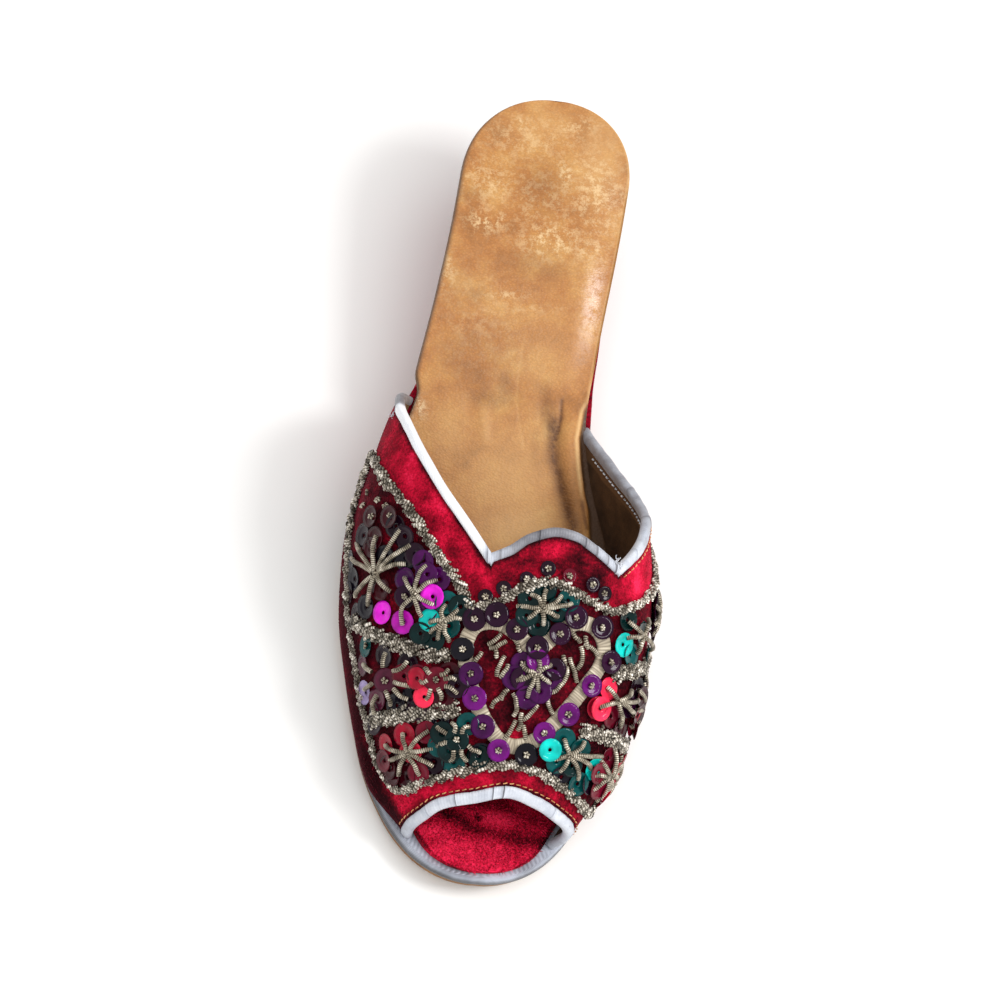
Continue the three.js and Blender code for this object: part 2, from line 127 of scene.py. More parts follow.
WING_BARS = {
    "lateral_upper_bar": ((-0.83, 72.5), (-0.69, 65.6), (-0.52, 59.3), (-0.4, 55.7), (-0.34, 54.8)),
    "lateral_lower_bar": ((-0.81, 43.5), (-0.73, 42.5), (-0.55, 41.3), (-0.39, 40.7), (-0.29, 41)),
    "medial_upper_bar": ((0.32, 53.8), (0.46, 57.2), (0.6, 61.5), (0.72, 67), (0.83, 72.5)),
    "medial_lower_bar": ((0.25, 38), (0.4, 38), (0.58, 38.5), (0.72, 40.5), (0.81, 42.5)),
}

# The photo's camera, found by laying the solids over the photo; the target is a point of the plan
CAMERA = {"lateral_tilt": 13.0, "toe_tilt": 25.0, "distance": 1000.0, "focal_px": 3400.0}
CAMERA_TARGET = (0.0, -5.0, 20.0)
TARGET_PIXEL = (349, 491)
IMAGE_PX = 1000
SENSOR_MM = 36.0

# Flowers of bullion coil where the photo shows them, in its pixels: the middle and the tips of the petals
FLOWERS = {
    "lateral_top": ((229, 565), (
        (209, 535), (227, 527), (251, 521), (261, 536), (256, 555), (204, 550), (207, 587), (220, 596),
        (242, 583),
    )),
    "lateral_magenta": ((266, 586), (
        (277, 556), (287, 570), (283, 595), (272, 607), (253, 615), (255, 569),
    )),
    "lateral_teal": ((295, 612), (
        (296, 596), (307, 601), (311, 610), (280, 614), (281, 623), (288, 630), (299, 632),
    )),
    "lateral_middle": ((239, 671), (
        (217, 655), (238, 645), (259, 652), (262, 677), (260, 691), (243, 696), (227, 704), (218, 680),
    )),
    "lateral_crimson": ((288, 671), (
        (276, 660), (298, 661), (306, 671), (307, 685), (292, 690), (278, 690), (272, 672),
    )),
    "lateral_low": ((259, 743), (
        (253, 725), (279, 722), (283, 740), (283, 757), (270, 766), (250, 766), (241, 750), (237, 736),
    )),
    "lateral_low_teal": ((307, 729), (
        (287, 717), (302, 714), (319, 717), (329, 743), (316, 751), (300, 752), (288, 736),
    )),
    "top_green": ((390, 600), (
        (380, 586), (394, 581), (410, 587), (420, 595), (366, 597), (392, 615), (406, 608), (377, 610),
    )),
    "heart_middle": ((384, 664), (
        (386, 650), (399, 656), (397, 674), (386, 682), (375, 688), (366, 672), (370, 656),
    )),
    "medial_top": ((487, 627), ((475, 612), (494, 610), (473, 629), (484, 644), (496, 641))),
    "medial_coral": ((463, 692), (
        (455, 678), (447, 698), (478, 681), (484, 690), (479, 706), (467, 717),
    )),
    "medial_low": ((416, 745), (
        (412, 730), (432, 733), (449, 746), (438, 759), (425, 770), (408, 762), (396, 748),
    )),
}
# Flowers whose petals end at the rim of a sequin, and how far that sequin is above the velvet
RAISED_MIDDLES = ("lateral_middle", "lateral_crimson", "lateral_low_teal")
RAISED_SEQUIN = 2.0
# Flowers on the side that the photo hides, as across, station and the sequins' colour
HIDDEN_FLOWERS = (
    (0.66, 78, "plum"), (0.8, 86, "charcoal"), (0.66, 50, "maroon"), (0.78, 56, "plum"),
    (0.56, 30, "wine"), (0.72, 31, "crimson"),
)
# Loose pieces of coil inside the heart, from pixel to pixel
TWIGS = (
    (350, 625, 337, 636), (355, 632, 339, 639), (331, 644, 322, 654), (345, 639, 346, 648),
    (366, 634, 369, 643), (354, 648, 345, 667), (357, 655, 348, 668), (354, 684, 340, 698),
    (361, 684, 362, 707), (364, 711, 353, 729), (370, 704, 367, 721), (372, 716, 374, 730),
    (386, 696, 372, 710), (411, 646, 413, 656), (418, 649, 425, 673), (429, 637, 425, 660),
    (411, 673, 398, 685), (396, 684, 401, 704), (434, 627, 436, 638), (445, 647, 432, 635),
    (420, 624, 429, 633), (415, 658, 408, 676), (357, 680, 350, 690),
)
# Cup sequins by colour, in the photo's pixels
SEQUINS = {
    "charcoal": (
        (203, 552), (256, 549), (217, 597), (226, 705), (247, 697), (264, 683), (287, 712), (205, 570),
        (374, 745), (312, 640), (236, 548), (410, 768), (330, 745),
    ),
    "black_plum": (
        (246, 518), (255, 528), (201, 583), (214, 527), (235, 647), (306, 677), (283, 753), (266, 545),
        (205, 690), (483, 679), (227, 715), (268, 699), (258, 655), (207, 605), (436, 773), (495, 665),
    ),
    "maroon": (
        (226, 529), (232, 580), (221, 508), (240, 508), (292, 690), (257, 767), (244, 765), (222, 540),
        (255, 753), (467, 719), (486, 700), (240, 758), (300, 665),
    ),
    "wine": (
        (237, 751), (277, 723), (288, 671), (255, 667), (270, 763), (270, 667), (459, 707), (478, 716),
    ),
    "crimson": ((255, 725), (238, 735), (269, 670), (262, 742), (445, 698)),
    "coral": ((275, 688), (456, 679), (447, 699), (482, 708)),
    "mauve": ((214, 656), (240, 672), (229, 690)),
    "lilac": ((216, 683),),
    "purple": (
        (274, 553), (255, 570), (289, 570), (277, 566), (278, 600), (371, 655), (362, 668), (399, 671),
        (320, 664), (332, 717), (388, 682), (375, 688),
    ),
    "bright_purple": ((385, 652), (324, 689), (347, 740), (392, 723), (415, 704), (438, 676)),
    "plum": (
        (256, 588), (324, 610), (346, 606), (366, 621), (385, 638), (407, 625), (423, 608), (449, 618),
        (457, 653), (403, 660), (371, 669), (475, 697),
    ),
    # Sequins painted magenta, the bright colour that dark purple ones show where lit: a painted light
    "magenta_lit": ((233, 604), (253, 613), (283, 588)),
    "teal": (
        (297, 594), (298, 617), (289, 736), (303, 753), (317, 714), (217, 637), (412, 730), (425, 774),
        (478, 646), (494, 647), (416, 591), (405, 752), (428, 741),
    ),
    # Teal sequins painted bright aqua, the colour that they show where lit: a painted highlight
    "aqua_lit": ((280, 612), (470, 636), (441, 758), (396, 739)),
    "bottle": (
        (284, 630), (310, 598), (271, 624), (307, 729), (327, 747), (394, 581), (378, 590), (475, 611),
        (489, 623), (387, 616), (375, 607), (406, 601), (293, 724), (418, 756), (300, 741),
    ),
}
# The lit magenta and aqua are painted light on purple and teal sequins
SEQUIN_COLOURS = {
    "charcoal": "#16121C", "black_plum": "#1E0818", "maroon": "#3C0612", "wine": "#640A20",
    "crimson": "#A8122E", "coral": "#FF3054", "mauve": "#582036", "lilac": "#9888B4", "purple": "#440748",
    "bright_purple": "#660D6C", "plum": "#260622", "magenta_lit": "#DC1ECC", "teal": "#044A4A",
    "aqua_lit": "#08BAB0", "bottle": "#042020",
}
# Small sequins under the knots above the heart, in pixels
SMALL_SEQUINS = {
    "black_plum": ((335, 587), (353, 580), (376, 570), (397, 560), (441, 575), (452, 584)),
    "wine": ((418, 567),),
}
SMALL_SEQUIN_SIZE = 0.64
# Knots of coil on the velvet and on the sequins, in pixels
VELVET_KNOTS = (
    (335, 587), (353, 580), (376, 570), (397, 560), (418, 567), (441, 575), (452, 584), (222, 507),
    (240, 507), (218, 484), (228, 491), (236, 497), (213, 497), (203, 517), (200, 625), (216, 636),
)
SEQUIN_KNOTS = (
    (324, 610), (346, 606), (366, 621), (385, 638), (407, 625), (423, 608), (449, 618), (457, 653),
    (438, 676), (415, 704), (392, 723), (374, 745), (347, 740), (332, 717), (324, 689), (320, 664),
    (312, 640), (371, 669), (256, 588), (240, 672), (288, 671), (307, 729), (475, 697), (371, 655),
)

# Lie of the velvet's pile, with painted light and shade: places where it is painted lighter or darker, as
# pixel, reach and change
NAP_AND_LIGHT_PATCHES = (
    (262, 462, 18, 30, 0.16), (300, 515, 26, 26, 0.10), (325, 552, 22, 16, 0.08),
    (364, 556, 12, 16, -0.24), (398, 543, 22, 14, 0.06), (432, 560, 26, 22, -0.26),
    (486, 572, 20, 30, 0.34), (300, 786, 50, 12, 0.16), (392, 782, 36, 16, 0.02), (364, 729, 8, 12, 0.4),
    (240, 420, 14, 18, -0.06), (274, 485, 7, 7, -0.2), (262, 448, 12, 12, 0.12), (288, 500, 10, 12, 0.12),
    (400, 545, 14, 7, 0.12), (452, 578, 10, 16, -0.15),
)
# The velvet within the embroidered border is drawn darker
FIELD_DARKENING = -0.32

# What varies by chance, from a fixed seed
rng = np.random.default_rng(7)


def monotone(table, along, column):
    """Smooth curve through a table's column that never overshoots its rows."""
    x = np.array(table[along], float)
    y = np.array(table[column], float)
    step = np.diff(x)
    rise = np.diff(y) / step
    slope = np.concatenate((rise[:1], np.zeros(len(x) - 2), rise[-1:]))
    same_way = rise[:-1] * rise[1:] > 0
    safe = np.where(rise == 0, 1, rise)
    a = 2 * step[1:] + step[:-1]
    b = step[1:] + 2 * step[:-1]
    slope[1:-1] = np.where(same_way, (a + b) / (a / safe[:-1] + b / safe[1:]), 0)

    def at(value):
        """Value of the curve at some places."""
        value = np.asarray(value, float)
        i = np.clip(np.searchsorted(x, value, side="right") - 1, 0, len(x) - 2)
        u = np.clip((value - x[i]) / step[i], 0, 1)
        v = 1 - u
        ends = y[i] * v * v * (1 + 2 * u) + y[i + 1] * u * u * (1 + 2 * v)
        return ends + step[i] * u * v * (slope[i] * v - slope[i + 1] * u)

    return at


plan_centre = monotone(PLAN, "station", "centre")
plan_half = monotone(PLAN, "station", "half")
underside = monotone(UNDERSIDE, "station", "height")
rise = monotone(RISE, "station", "height")
upper_inset = monotone(INSET, "station", "upper")
insole_inset = monotone(INSET, "station", "insole")
ridge_at = monotone(SECTION, "station", "ridge")
height_at = monotone(SECTION, "station", "height")
lateral_fullness = monotone(SECTION, "station", "lateral")
medial_fullness = monotone(SECTION, "station", "medial")
lateral_quarter = monotone(LATERAL_QUARTER, "across", "station")
tongue = monotone(TONGUE, "across", "station")
medial_quarter = monotone(MEDIAL_QUARTER, "across", "station")
toe_edge = monotone(TOE_EDGE, "across", "station")


def throat_edge(across):
    """Station of the upper's free edge at the throat."""
    behind = np.where(across < MEDIAL_NOTCH, tongue(across), medial_quarter(across))
    return np.where(across < LATERAL_NOTCH, lateral_quarter(across), behind)


def outsole_top(station):
    """Height of the outsole's top."""
    return underside(station) + OUTSOLE_THICKNESS


def platform_top(station):
    """Height of the platform's top, which stays level from the forefoot back."""
    return outsole_top(np.minimum(station, FLAT_END)) + GAP + PLATFORM_THICKNESS


def deck(station):
    """Height on which the insole lies."""
    return platform_top(station) + rise(station)


def rounded(station, toe_inset=0.0, heel_inset=0.0):
    """Half width factor of an outline that is rounded at the toe and the heel."""
    toe = np.clip(1 - (station - toe_inset) / (TOE_ROUND["length"] - toe_inset), 0, 1)
    heel = np.clip(1 - (LENGTH - heel_inset - station) / (HEEL_ROUND["length"] - heel_inset), 0, 1)
    toe_part = (1 - toe ** TOE_ROUND["power"]) ** (1 / TOE_ROUND["power"])
    heel_part = (1 - heel ** HEEL_ROUND["power"]) ** (1 / HEEL_ROUND["power"])
    return toe_part * heel_part


def smoothstep(value, start, end):
    """A smooth rise from 0 at the start to 1 at the end."""
    u = np.clip((np.asarray(value, float) - start) / (end - start), 0, 1)
    return u * u * (3 - 2 * u)


def turned(vectors):
    """Plan directions turned by the swing of the shoe."""
    x, y, z = np.moveaxis(np.asarray(vectors, float), -1, 0)
    c, s = math.cos(SWING), math.sin(SWING)
    return np.stack((x * c - y * s, x * s + y * c, z), -1)


def place(x, station, z):
    """A point of the plan in the part's frame."""
    plan = np.stack(np.broadcast_arrays(x, np.asarray(station, float) - LENGTH / 2, z), -1)
    return turned(plan) - (*BOX_MIDDLE, 0)


def unit(vectors):
    """Vectors of length one."""
    return vectors / np.maximum(np.linalg.norm(vectors, axis=-1, keepdims=True), 1e-9)


# The upper's outer face, and small steps across, back and along an edge for its slopes
ACROSS_STEP = 0.004
STATION_STEP = 0.2
EDGE_STEP = 0.012


def upper_point(across, station):
    """A point of the upper's outer face."""
    across, station = np.broadcast_arrays(np.asarray(across, float), np.asarray(station, float))
    side = np.where(across < 0, -1.0, 1.0)
    angle = (1 - np.abs(across)) * math.pi / 2
    foot = plan_centre(station) + side * (plan_half(station) * rounded(station) - upper_inset(station))
    fullness = np.where(side < 0, -lateral_fullness(station), medial_fullness(station))
    ridge = ridge_at(station)
    x = ridge + (foot - ridge) * np.cos(angle) + fullness * np.sin(2 * angle)
    return place(x, station, deck(station) + GAP + height_at(station) * np.sin(angle))


def upper_slopes(across, station):
    """Change of the upper's face for one unit across and for one millimetre of station."""
    across = np.asarray(across, float)
    station = np.asarray(station, float)
    low = np.maximum(across - ACROSS_STEP, -1)
    high = np.minimum(across + ACROSS_STEP, 1)
    sideways = (upper_point(high, station) - upper_point(low, station)) / (high - low)[..., None]
    backward = upper_point(across, station + STATION_STEP) - upper_point(across, station - STATION_STEP)
    return sideways, backward / (2 * STATION_STEP)


def upper_normal(across, station):
    """Direction in which the upper's outer face looks."""
    return unit(np.cross(*upper_slopes(across, station)))


def on_upper(across, station, lift=0.0):
    """A point that stands out from the upper's face by a lift."""
    across, station, lift = np.broadcast_arrays(*(np.asarray(v, float) for v in (across, station, lift)))
    return upper_point(across, station) + upper_normal(across, station) * lift[..., None]


def depth_from_edge(edge, across, width):
    """Length along the stations that lies a width in from an edge, square to that edge."""
    backward = upper_point(across, edge(across) + 0.5) - upper_point(across, edge(across) - 0.5)
    depths = []
    for step in (EDGE_STEP, -EDGE_STEP):
        near = np.clip(across + step, -1, 1)
        far = np.where(near == across, across - step, across)
        along = unit(upper_point(near, edge(near)) - upper_point(far, edge(far)))
        square = backward - along * np.sum(along * backward, -1, keepdims=True)
        depths.append(width / np.linalg.norm(square, axis=-1))
    return (depths[0] + depths[1]) / 2


# The photo's camera in the part's frame
camera_back = np.array([
    -math.tan(math.radians(CAMERA["lateral_tilt"])), -math.tan(math.radians(CAMERA["toe_tilt"])), 1.0])
camera_back = unit(camera_back)
camera_up = unit(np.array([0, 1, 0]) - camera_back * camera_back[1])
camera_right = turned(np.cross(camera_up, camera_back))
camera_up = turned(camera_up)
camera_back = turned(camera_back)
camera_target = place(CAMERA_TARGET[0], CAMERA_TARGET[1] + LENGTH / 2, CAMERA_TARGET[2])


def photo_of(points):
    """Pixels of the photo at which points of the shoe show."""
    away = points - camera_target
    scale = CAMERA["focal_px"] / (CAMERA["distance"] - away @ camera_back)
    x = TARGET_PIXEL[0] + away @ camera_right * scale
    y = TARGET_PIXEL[1] - away @ camera_up * scale
    return np.stack((x, y), -1)


# A grid over the side of the upper that faces the camera, to find the place that shows at a pixel
FINDER_ACROSS = (-1, 0.72, 430)
FINDER_STATION = (14, 135, 360)
LEAST_FACING = 0.06
finder_across, finder_station = (grid.ravel() for grid in np.meshgrid(
    np.linspace(*FINDER_ACROSS), np.linspace(*FINDER_STATION), indexing="ij"))
finder_facing = upper_normal(finder_across, finder_station) @ camera_back > LEAST_FACING
finder_across = finder_across[finder_facing]
finder_station = finder_station[finder_facing]
finder_pixels = photo_of(upper_point(finder_across, finder_station))


def seen_on_upper(pixel):
    """Across and station of the place on the upper that shows at a pixel."""
    nearest = np.argmin(np.sum((finder_pixels - pixel) ** 2, -1))
    return finder_across[nearest], finder_station[nearest]


# Meshes from rings and grids of points
def quads(rows, columns, wrap):
    """Faces of a grid of points; wrap joins the last column to the first."""
    index = np.arange(rows * columns).reshape(rows, columns)
    if wrap:
        index = np.concatenate((index, index[:, :1]), 1)
    corners = (index[:-1, :-1], index[:-1, 1:], index[1:, 1:], index[1:, :-1])
    return np.stack(corners, -1).reshape(-1, 4)


def loft(rings, closed=False):
    """Points and outward faces of a skin through rings that go up one side and down the other."""
    count, size = rings.shape[:2]
    points = rings.reshape(-1, 3)
    if closed:
        faces = quads(count + 1, size, True) % (count * size)
    else:
        j = np.arange(size // 2 - 1)
        cap = np.stack((j, j + 1, size - 2 - j, size - 1 - j), -1)
        faces = np.concatenate((quads(count, size, True), cap[:, ::-1], cap + (count - 1) * size))
    a, b, c, d = (points[faces[:, i]] for i in range(4))
    volume = np.sum(a * np.cross(b, c)) + np.sum(a * np.cross(c, d))
    return points, faces if volume > 0 else faces[:, ::-1]


def plain_mesh(name, points, edges=(), faces=()):
    """A mesh in metres from points in millimetres."""
    mesh = bpy.data.meshes.new(name)
    mesh.from_pydata((points * MM).tolist(), list(edges), np.asarray(faces).tolist())
    return mesh


def put_values(mesh, attributes):
    """Stores numbers, directions or colours on the points of a mesh."""
    kinds = {1: ("FLOAT", "value"), 3: ("FLOAT_VECTOR", "vector"), 4: ("FLOAT_COLOR", "color")}
    for name, values in attributes.items():
        values = np.asarray(values, float)
        kind, field = kinds[1 if values.ndim == 1 else values.shape[1]]
        mesh.attributes.new(name, kind, "POINT").data.foreach_set(field, values.ravel())


def shown(name, data):
    """An object of the scene that holds some data."""
    piece = bpy.data.objects.new(name, data)
    bpy.context.scene.collection.objects.link(piece)
    return piece


def make_piece(name, points, faces, material, uv=None, sharp=50, **attributes):
    """A mesh piece at the origin, smooth but for its sharp edges, with values on its points."""
    mesh = plain_mesh(name, points, faces=faces)
    mesh.materials.append(material)
    mesh.shade_smooth()
    mesh.set_sharp_from_angle(angle=math.radians(sharp))
    if uv is not None:
        corner = np.empty(len(mesh.loops), int)
        mesh.loops.foreach_get("vertex_index", corner)
        mesh.uv_layers.new(name="UVMap").data.foreach_set("uv", uv[corner].ravel())
    put_values(mesh, attributes)
    return shown(name, mesh)


def dress(piece, slot, *nodes):
    """Puts a piece on the shoe and hides the solids that it stands for; the finish that it is given is not
    used.
    """
    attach(piece, "root")
    if nodes:
        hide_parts(*nodes)


# Nodes
def wire(node, inputs):
    """Links an input to a socket or to a node's first output, or sets it to a value."""
    for key, value in inputs.items():
        if isinstance(value, bpy.types.Node):
            value = value.outputs[0]
        if isinstance(value, bpy.types.NodeSocket):
            node.id_data.links.new(value, node.inputs[key])
        else:
            node.inputs[key].default_value = value
    return node


def add(tree, kind, inputs=None, **settings):
    """Adds a node with its settings and links."""
    node = tree.nodes.new(kind)
    for name, value in settings.items():
        setattr(node, name, value)
    return wire(node, inputs or {})


# Sockets whose names aren't unique, by their numbers: those of a colour mix and those of a random number
SHARE, UNDER, OVER, MIXED = 0, 6, 7, 2
LOWEST, HIGHEST, DRAWN = 2, 3, 1


def colour(hex_code):
    """Linear colour of an sRGB hex value."""
    srgb = [int(hex_code[i:i + 2], 16) / 255 for i in (1, 3, 5)]
    return (*(v / 12.92 if v <= 0.04045 else ((v + 0.055) / 1.055) ** 2.4 for v in srgb), 1.0)


def per_mm(size):
    """Texture scale at which one repeat has a size in millimetres, on coordinates in metres."""
    return 1 / (size * MM)


def ribs_per_mm(size):
    """Scale of a wave texture, which turns twenty times as fast, for ribs of a size in millimetres."""
    return per_mm(size) * math.pi / 10


def new_material(name, **constants):
    """A material with its tree and its shader, and the coordinates that its patterns follow."""
    material = bpy.data.materials.new(name)
    material.use_nodes = True
    tree = material.node_tree
    tree.nodes.clear()
    shader = add(tree, "ShaderNodeBsdfPrincipled", {k.replace("_", " "): v for k, v in constants.items()})
    add(tree, "ShaderNodeOutputMaterial", {"Surface": shader})
    place_on = add(tree, "ShaderNodeTexCoord")
    return material, tree, shader, place_on.outputs["Object"], place_on.outputs["UV"]


def set_ramp(node, stops):
    """Colours of a ramp from places and hex values."""
    ramp = node.color_ramp
    while len(ramp.elements) < len(stops):
        ramp.elements.new(0.5)
    for element, (position, hex_code) in zip(ramp.elements, stops):
        element.position = position
        element.color = colour(hex_code)
    return node


def paint(tree, shader, tone, stops, height=None, strength=0.0, depth=0.0):
    """Colours a shader by a tone, and roughens it by a height of some strength and depth in millimetres."""
    wire(shader, {"Base Color": set_ramp(add(tree, "ShaderNodeValToRGB", {"Fac": tone}), stops)})
    if height is not None:
        bump = add(tree, "ShaderNodeBump", {"Height": height, "Strength": strength, "Distance": depth * MM})
        wire(shader, {"Normal": bump})


# Materials
VELVET_STOPS = ((0.0, "#1E0206"), (0.25, "#4C0512"), (0.5, "#8E0820"), (0.75, "#CC1236"), (1.0, "#EE2A54"))


def crushed_velvet(name, pile, crushing=1.0):
    """Woven velvet with a crushed pile, coloured by the pile's lie and by painted light and shade: dark where
    one looks into it, bright where it lies over. Its fibres are too fine to show, so they are drawn 0.8 mm
    apart."""
    material, tree, shader, spot, _ = new_material(
        name, Roughness=0.85, Sheen_Weight=0.22, Sheen_Roughness=0.4, Sheen_Tint=colour("#FF5A78"),
        Specular_IOR_Level=0.08)
    tone = add(tree, "ShaderNodeAttribute", attribute_name="nap_and_shading").outputs["Fac"]
    crush = add(tree, "ShaderNodeTexNoise", {"Vector": spot, "Scale": per_mm(6), "Detail": 3.0})
    fibre = add(tree, "ShaderNodeTexNoise", {"Vector": spot, "Scale": per_mm(0.8), "Detail": 2.0})
    changes = [(crush, crushing, -0.5 * crushing), (fibre, 0.6, -0.3)]
    if pile:
        tip = add(tree, "ShaderNodeAttribute", attribute_name="tip").outputs["Fac"]
        bright = add(tree, "ShaderNodeAttribute", attribute_name="bright").outputs["Fac"]
        tone = add(tree, "ShaderNodeMath", {0: tone, 1: bright}, operation="ADD")
        # Fibres are painted lighter at the tip and darker at the base: painted light on the tips, painted
        # shade deep in the pile
        changes.append((tip, 0.5, -0.3))
    for value, contrast, middle in changes:
        change = add(tree, "ShaderNodeMath", {0: value, 1: contrast, 2: middle}, operation="MULTIPLY_ADD")
        tone = add(tree, "ShaderNodeMath", {0: tone, 1: change}, operation="ADD")
    paint(tree, shader, tone, VELVET_STOPS, None if pile else fibre, 0.6, 0.4)
    return material


def satin_ribbon():
    """Woven satin ribbon, creased where it is rolled: silver, painted whiter where it is lit and greyer where
    it is in shade, with fine ribs across it. The weave is too fine to show, so its ribs are drawn 0.8 mm
    wide."""
    material, tree, shader, spot, uv = new_material(
        "satin_ribbon_woven", Roughness=0.42, Sheen_Weight=0.25, Sheen_Roughness=0.3, Specular_IOR_Level=0.5)
    ribs = add(tree, "ShaderNodeTexWave", {"Vector": uv, "Scale": ribs_per_mm(0.8), "Distortion": 0.6})
    soil = add(tree, "ShaderNodeTexNoise", {
        "Vector": spot, "Scale": per_mm(4), "Detail": 6.0, "Roughness": 0.65})
    clean = add(tree, "ShaderNodeAttribute", attribute_name="clean").outputs["Fac"]
    tone = add(tree, "ShaderNodeMath", {0: soil, 1: 0.5, 2: clean}, operation="MULTIPLY_ADD")
    stops = ((0.15, "#3E3C42"), (0.45, "#85858C"), (0.7, "#B8BDC8"), (1.0, "#F2F4F8"))
    paint(tree, shader, tone, stops, ribs.outputs["Fac"], 0.35, 0.15)
    return material


def coiled_wire(name, dark, middle, light):
    """Fine wire wound into a hollow coil and tarnished: bright on the turns, brown-grey between them, where
    painted shade darkens the grooves.
    """
    material, tree, shader, spot, _ = new_material(name, Metallic=0.35, Roughness=0.32)
    tarnish = add(tree, "ShaderNodeTexNoise", {"Vector": spot, "Scale": per_mm(2.2), "Detail": 4.0})
    groove = add(tree, "ShaderNodeAttribute", attribute_name="groove").outputs["Fac"]
    bright = add(tree, "ShaderNodeAttribute", attribute_name="bright").outputs["Fac"]
    # The grooves between the turns are painted darker, a painted shade
    tone = add(tree, "ShaderNodeMath", {0: groove, 1: -0.45, 2: tarnish}, operation="MULTIPLY_ADD")
    tone = add(tree, "ShaderNodeMath", {0: tone, 1: bright}, operation="ADD")
    paint(tree, shader, tone, ((0.14, dark), (0.45, middle), (0.63, light)))
    return material


def satin_stitch():
    """Silk floss laid side by side across the heart's band: ivory, with a soft gloss along the threads. Real
    floss is finer, so its threads are drawn 0.5 mm wide to show."""
    material, tree, shader, _, uv = new_material(
        "satin_stitch_floss", Roughness=0.45, Sheen_Weight=0.2, Specular_IOR_Level=0.4)
    laid = add(tree, "ShaderNodeMapping", {"Vector": uv, "Scale": (per_mm(0.5), per_mm(9), 1)})
    threads = add(tree, "ShaderNodeTexNoise", {"Vector": laid, "Scale": 1.0, "Detail": 2.0})
    stops = ((0.3, "#6A5E50"), (0.5, "#A89A84"), (0.7, "#DCD0B8"))
    paint(tree, shader, threads, stops, threads, 0.5, 0.2)
    return material


def cup_sequin():
    """Pressed plastic sequin, dyed through and glossy: its own colour, a little uneven in depth."""
    material, tree, shader, spot, _ = new_material(
        "cup_sequin_pressed_plastic", Roughness=0.1, Specular_IOR_Level=0.25)
    tint = add(tree, "ShaderNodeAttribute", attribute_name="tint").outputs["Color"]
    film = add(tree, "ShaderNodeTexNoise", {"Vector": spot, "Scale": per_mm(4), "Detail": 2.0})
    shade = add(tree, "ShaderNodeMapRange", {
        "Value": film, "From Min": 0.3, "From Max": 0.7, "To Min": 0.6, "To Max": 1.25})
    mixed = add(tree, "ShaderNodeMix", {
        SHARE: 1.0, UNDER: tint, OVER: shade}, data_type="RGBA", blend_type="MULTIPLY")
    wire(shader, {"Base Color": mixed.outputs[MIXED]})
    return material


def worn_leather():
    """Vegetable-tanned sock leather, polished by the foot: tan with pale scuffs, dark grime and fine grain,
    with painted shade in its folds and painted highlights where it catches the light.
    The grain is drawn 0.6 mm wide, coarser than its pores, to show."""
    material, tree, shader, spot, _ = new_material(
        "sock_leather_worn_smooth", Specular_IOR_Level=0.5, Coat_Roughness=0.22)
    broad = add(tree, "ShaderNodeTexNoise", {
        "Vector": spot, "Scale": per_mm(16), "Detail": 8.0, "Roughness": 0.68})
    fine = add(tree, "ShaderNodeTexNoise", {
        "Vector": spot, "Scale": per_mm(2.4), "Detail": 8.0, "Roughness": 0.8})
    stretched = add(tree, "ShaderNodeMapping", {"Vector": spot, "Scale": (0.7, 1.0, 1.0)})
    grain = add(tree, "ShaderNodeTexVoronoi", {"Vector": stretched, "Scale": per_mm(0.6)})
    tan = set_ramp(add(tree, "ShaderNodeValToRGB", {"Fac": broad}), (
        (0.3, "#96602C"), (0.45, "#B27438"), (0.56, "#BE8444"), (0.72, "#D09E5C")))
    marks = {
        name: add(tree, "ShaderNodeAttribute", attribute_name=name).outputs["Fac"]
        for name in ("scuff_and_glare", "grime_and_shade", "gloss", "rim", "worn")}
    wrinkle = add(tree, "ShaderNodeMapRange", {
        "Value": grain, "From Min": 0.1, "From Max": 0.6, "To Min": 1.06, "To Max": 0.88})
    layer = add(tree, "ShaderNodeMix", {
        SHARE: 1.0, UNDER: tan, OVER: wrinkle}, data_type="RGBA", blend_type="MULTIPLY").outputs[MIXED]
    flecks = add(tree, "ShaderNodeMapRange", {"Value": fine, "From Min": 0.48, "From Max": 0.58})
    patchy = add(tree, "ShaderNodeMapRange", {
        "Value": fine, "From Min": 0.25, "From Max": 0.55, "To Min": 0.4, "To Max": 1.0})
    cracked = add(tree, "ShaderNodeMapRange", {"Value": fine, "From Min": 0.38, "From Max": 0.52})
    scuffed_and_glare, dirty_and_shaded, polish = (
        add(tree, "ShaderNodeMath", {0: broken, 1: marks[name]}, operation="MULTIPLY")
        for name, broken in (("scuff_and_glare", flecks), ("grime_and_shade", patchy), ("gloss", cracked)))
    # Pale wear and painted highlights, scuffs and a painted glare, grime and painted shade in folds, and a
    # dark rim that is partly a painted shadow
    layers = ((marks["worn"], "#E2B67A"), (scuffed_and_glare, "#E4C290"), (dirty_and_shaded, "#553014"), (marks["rim"], "#4A3424"))
    for share, hex_code in layers:
        layer = add(tree, "ShaderNodeMix", {
            SHARE: share, UNDER: layer, OVER: colour(hex_code)}, data_type="RGBA").outputs[MIXED]
    rough = add(tree, "ShaderNodeMapRange", {"Value": polish, "To Min": 0.55, "To Max": 0.24})
    bump = add(tree, "ShaderNodeBump", {"Height": grain, "Strength": 0.5, "Distance": 0.2 * MM})
    for height, strength, depth in ((fine, 0.35, 0.3), (scuffed_and_glare, 0.3, 0.1)):
        bump = add(tree, "ShaderNodeBump", {
            "Height": height, "Strength": strength, "Distance": depth * MM, "Normal": bump})
    wire(shader, {"Base Color": layer, "Roughness": rough, "Coat Weight": polish, "Normal": bump})
    return material


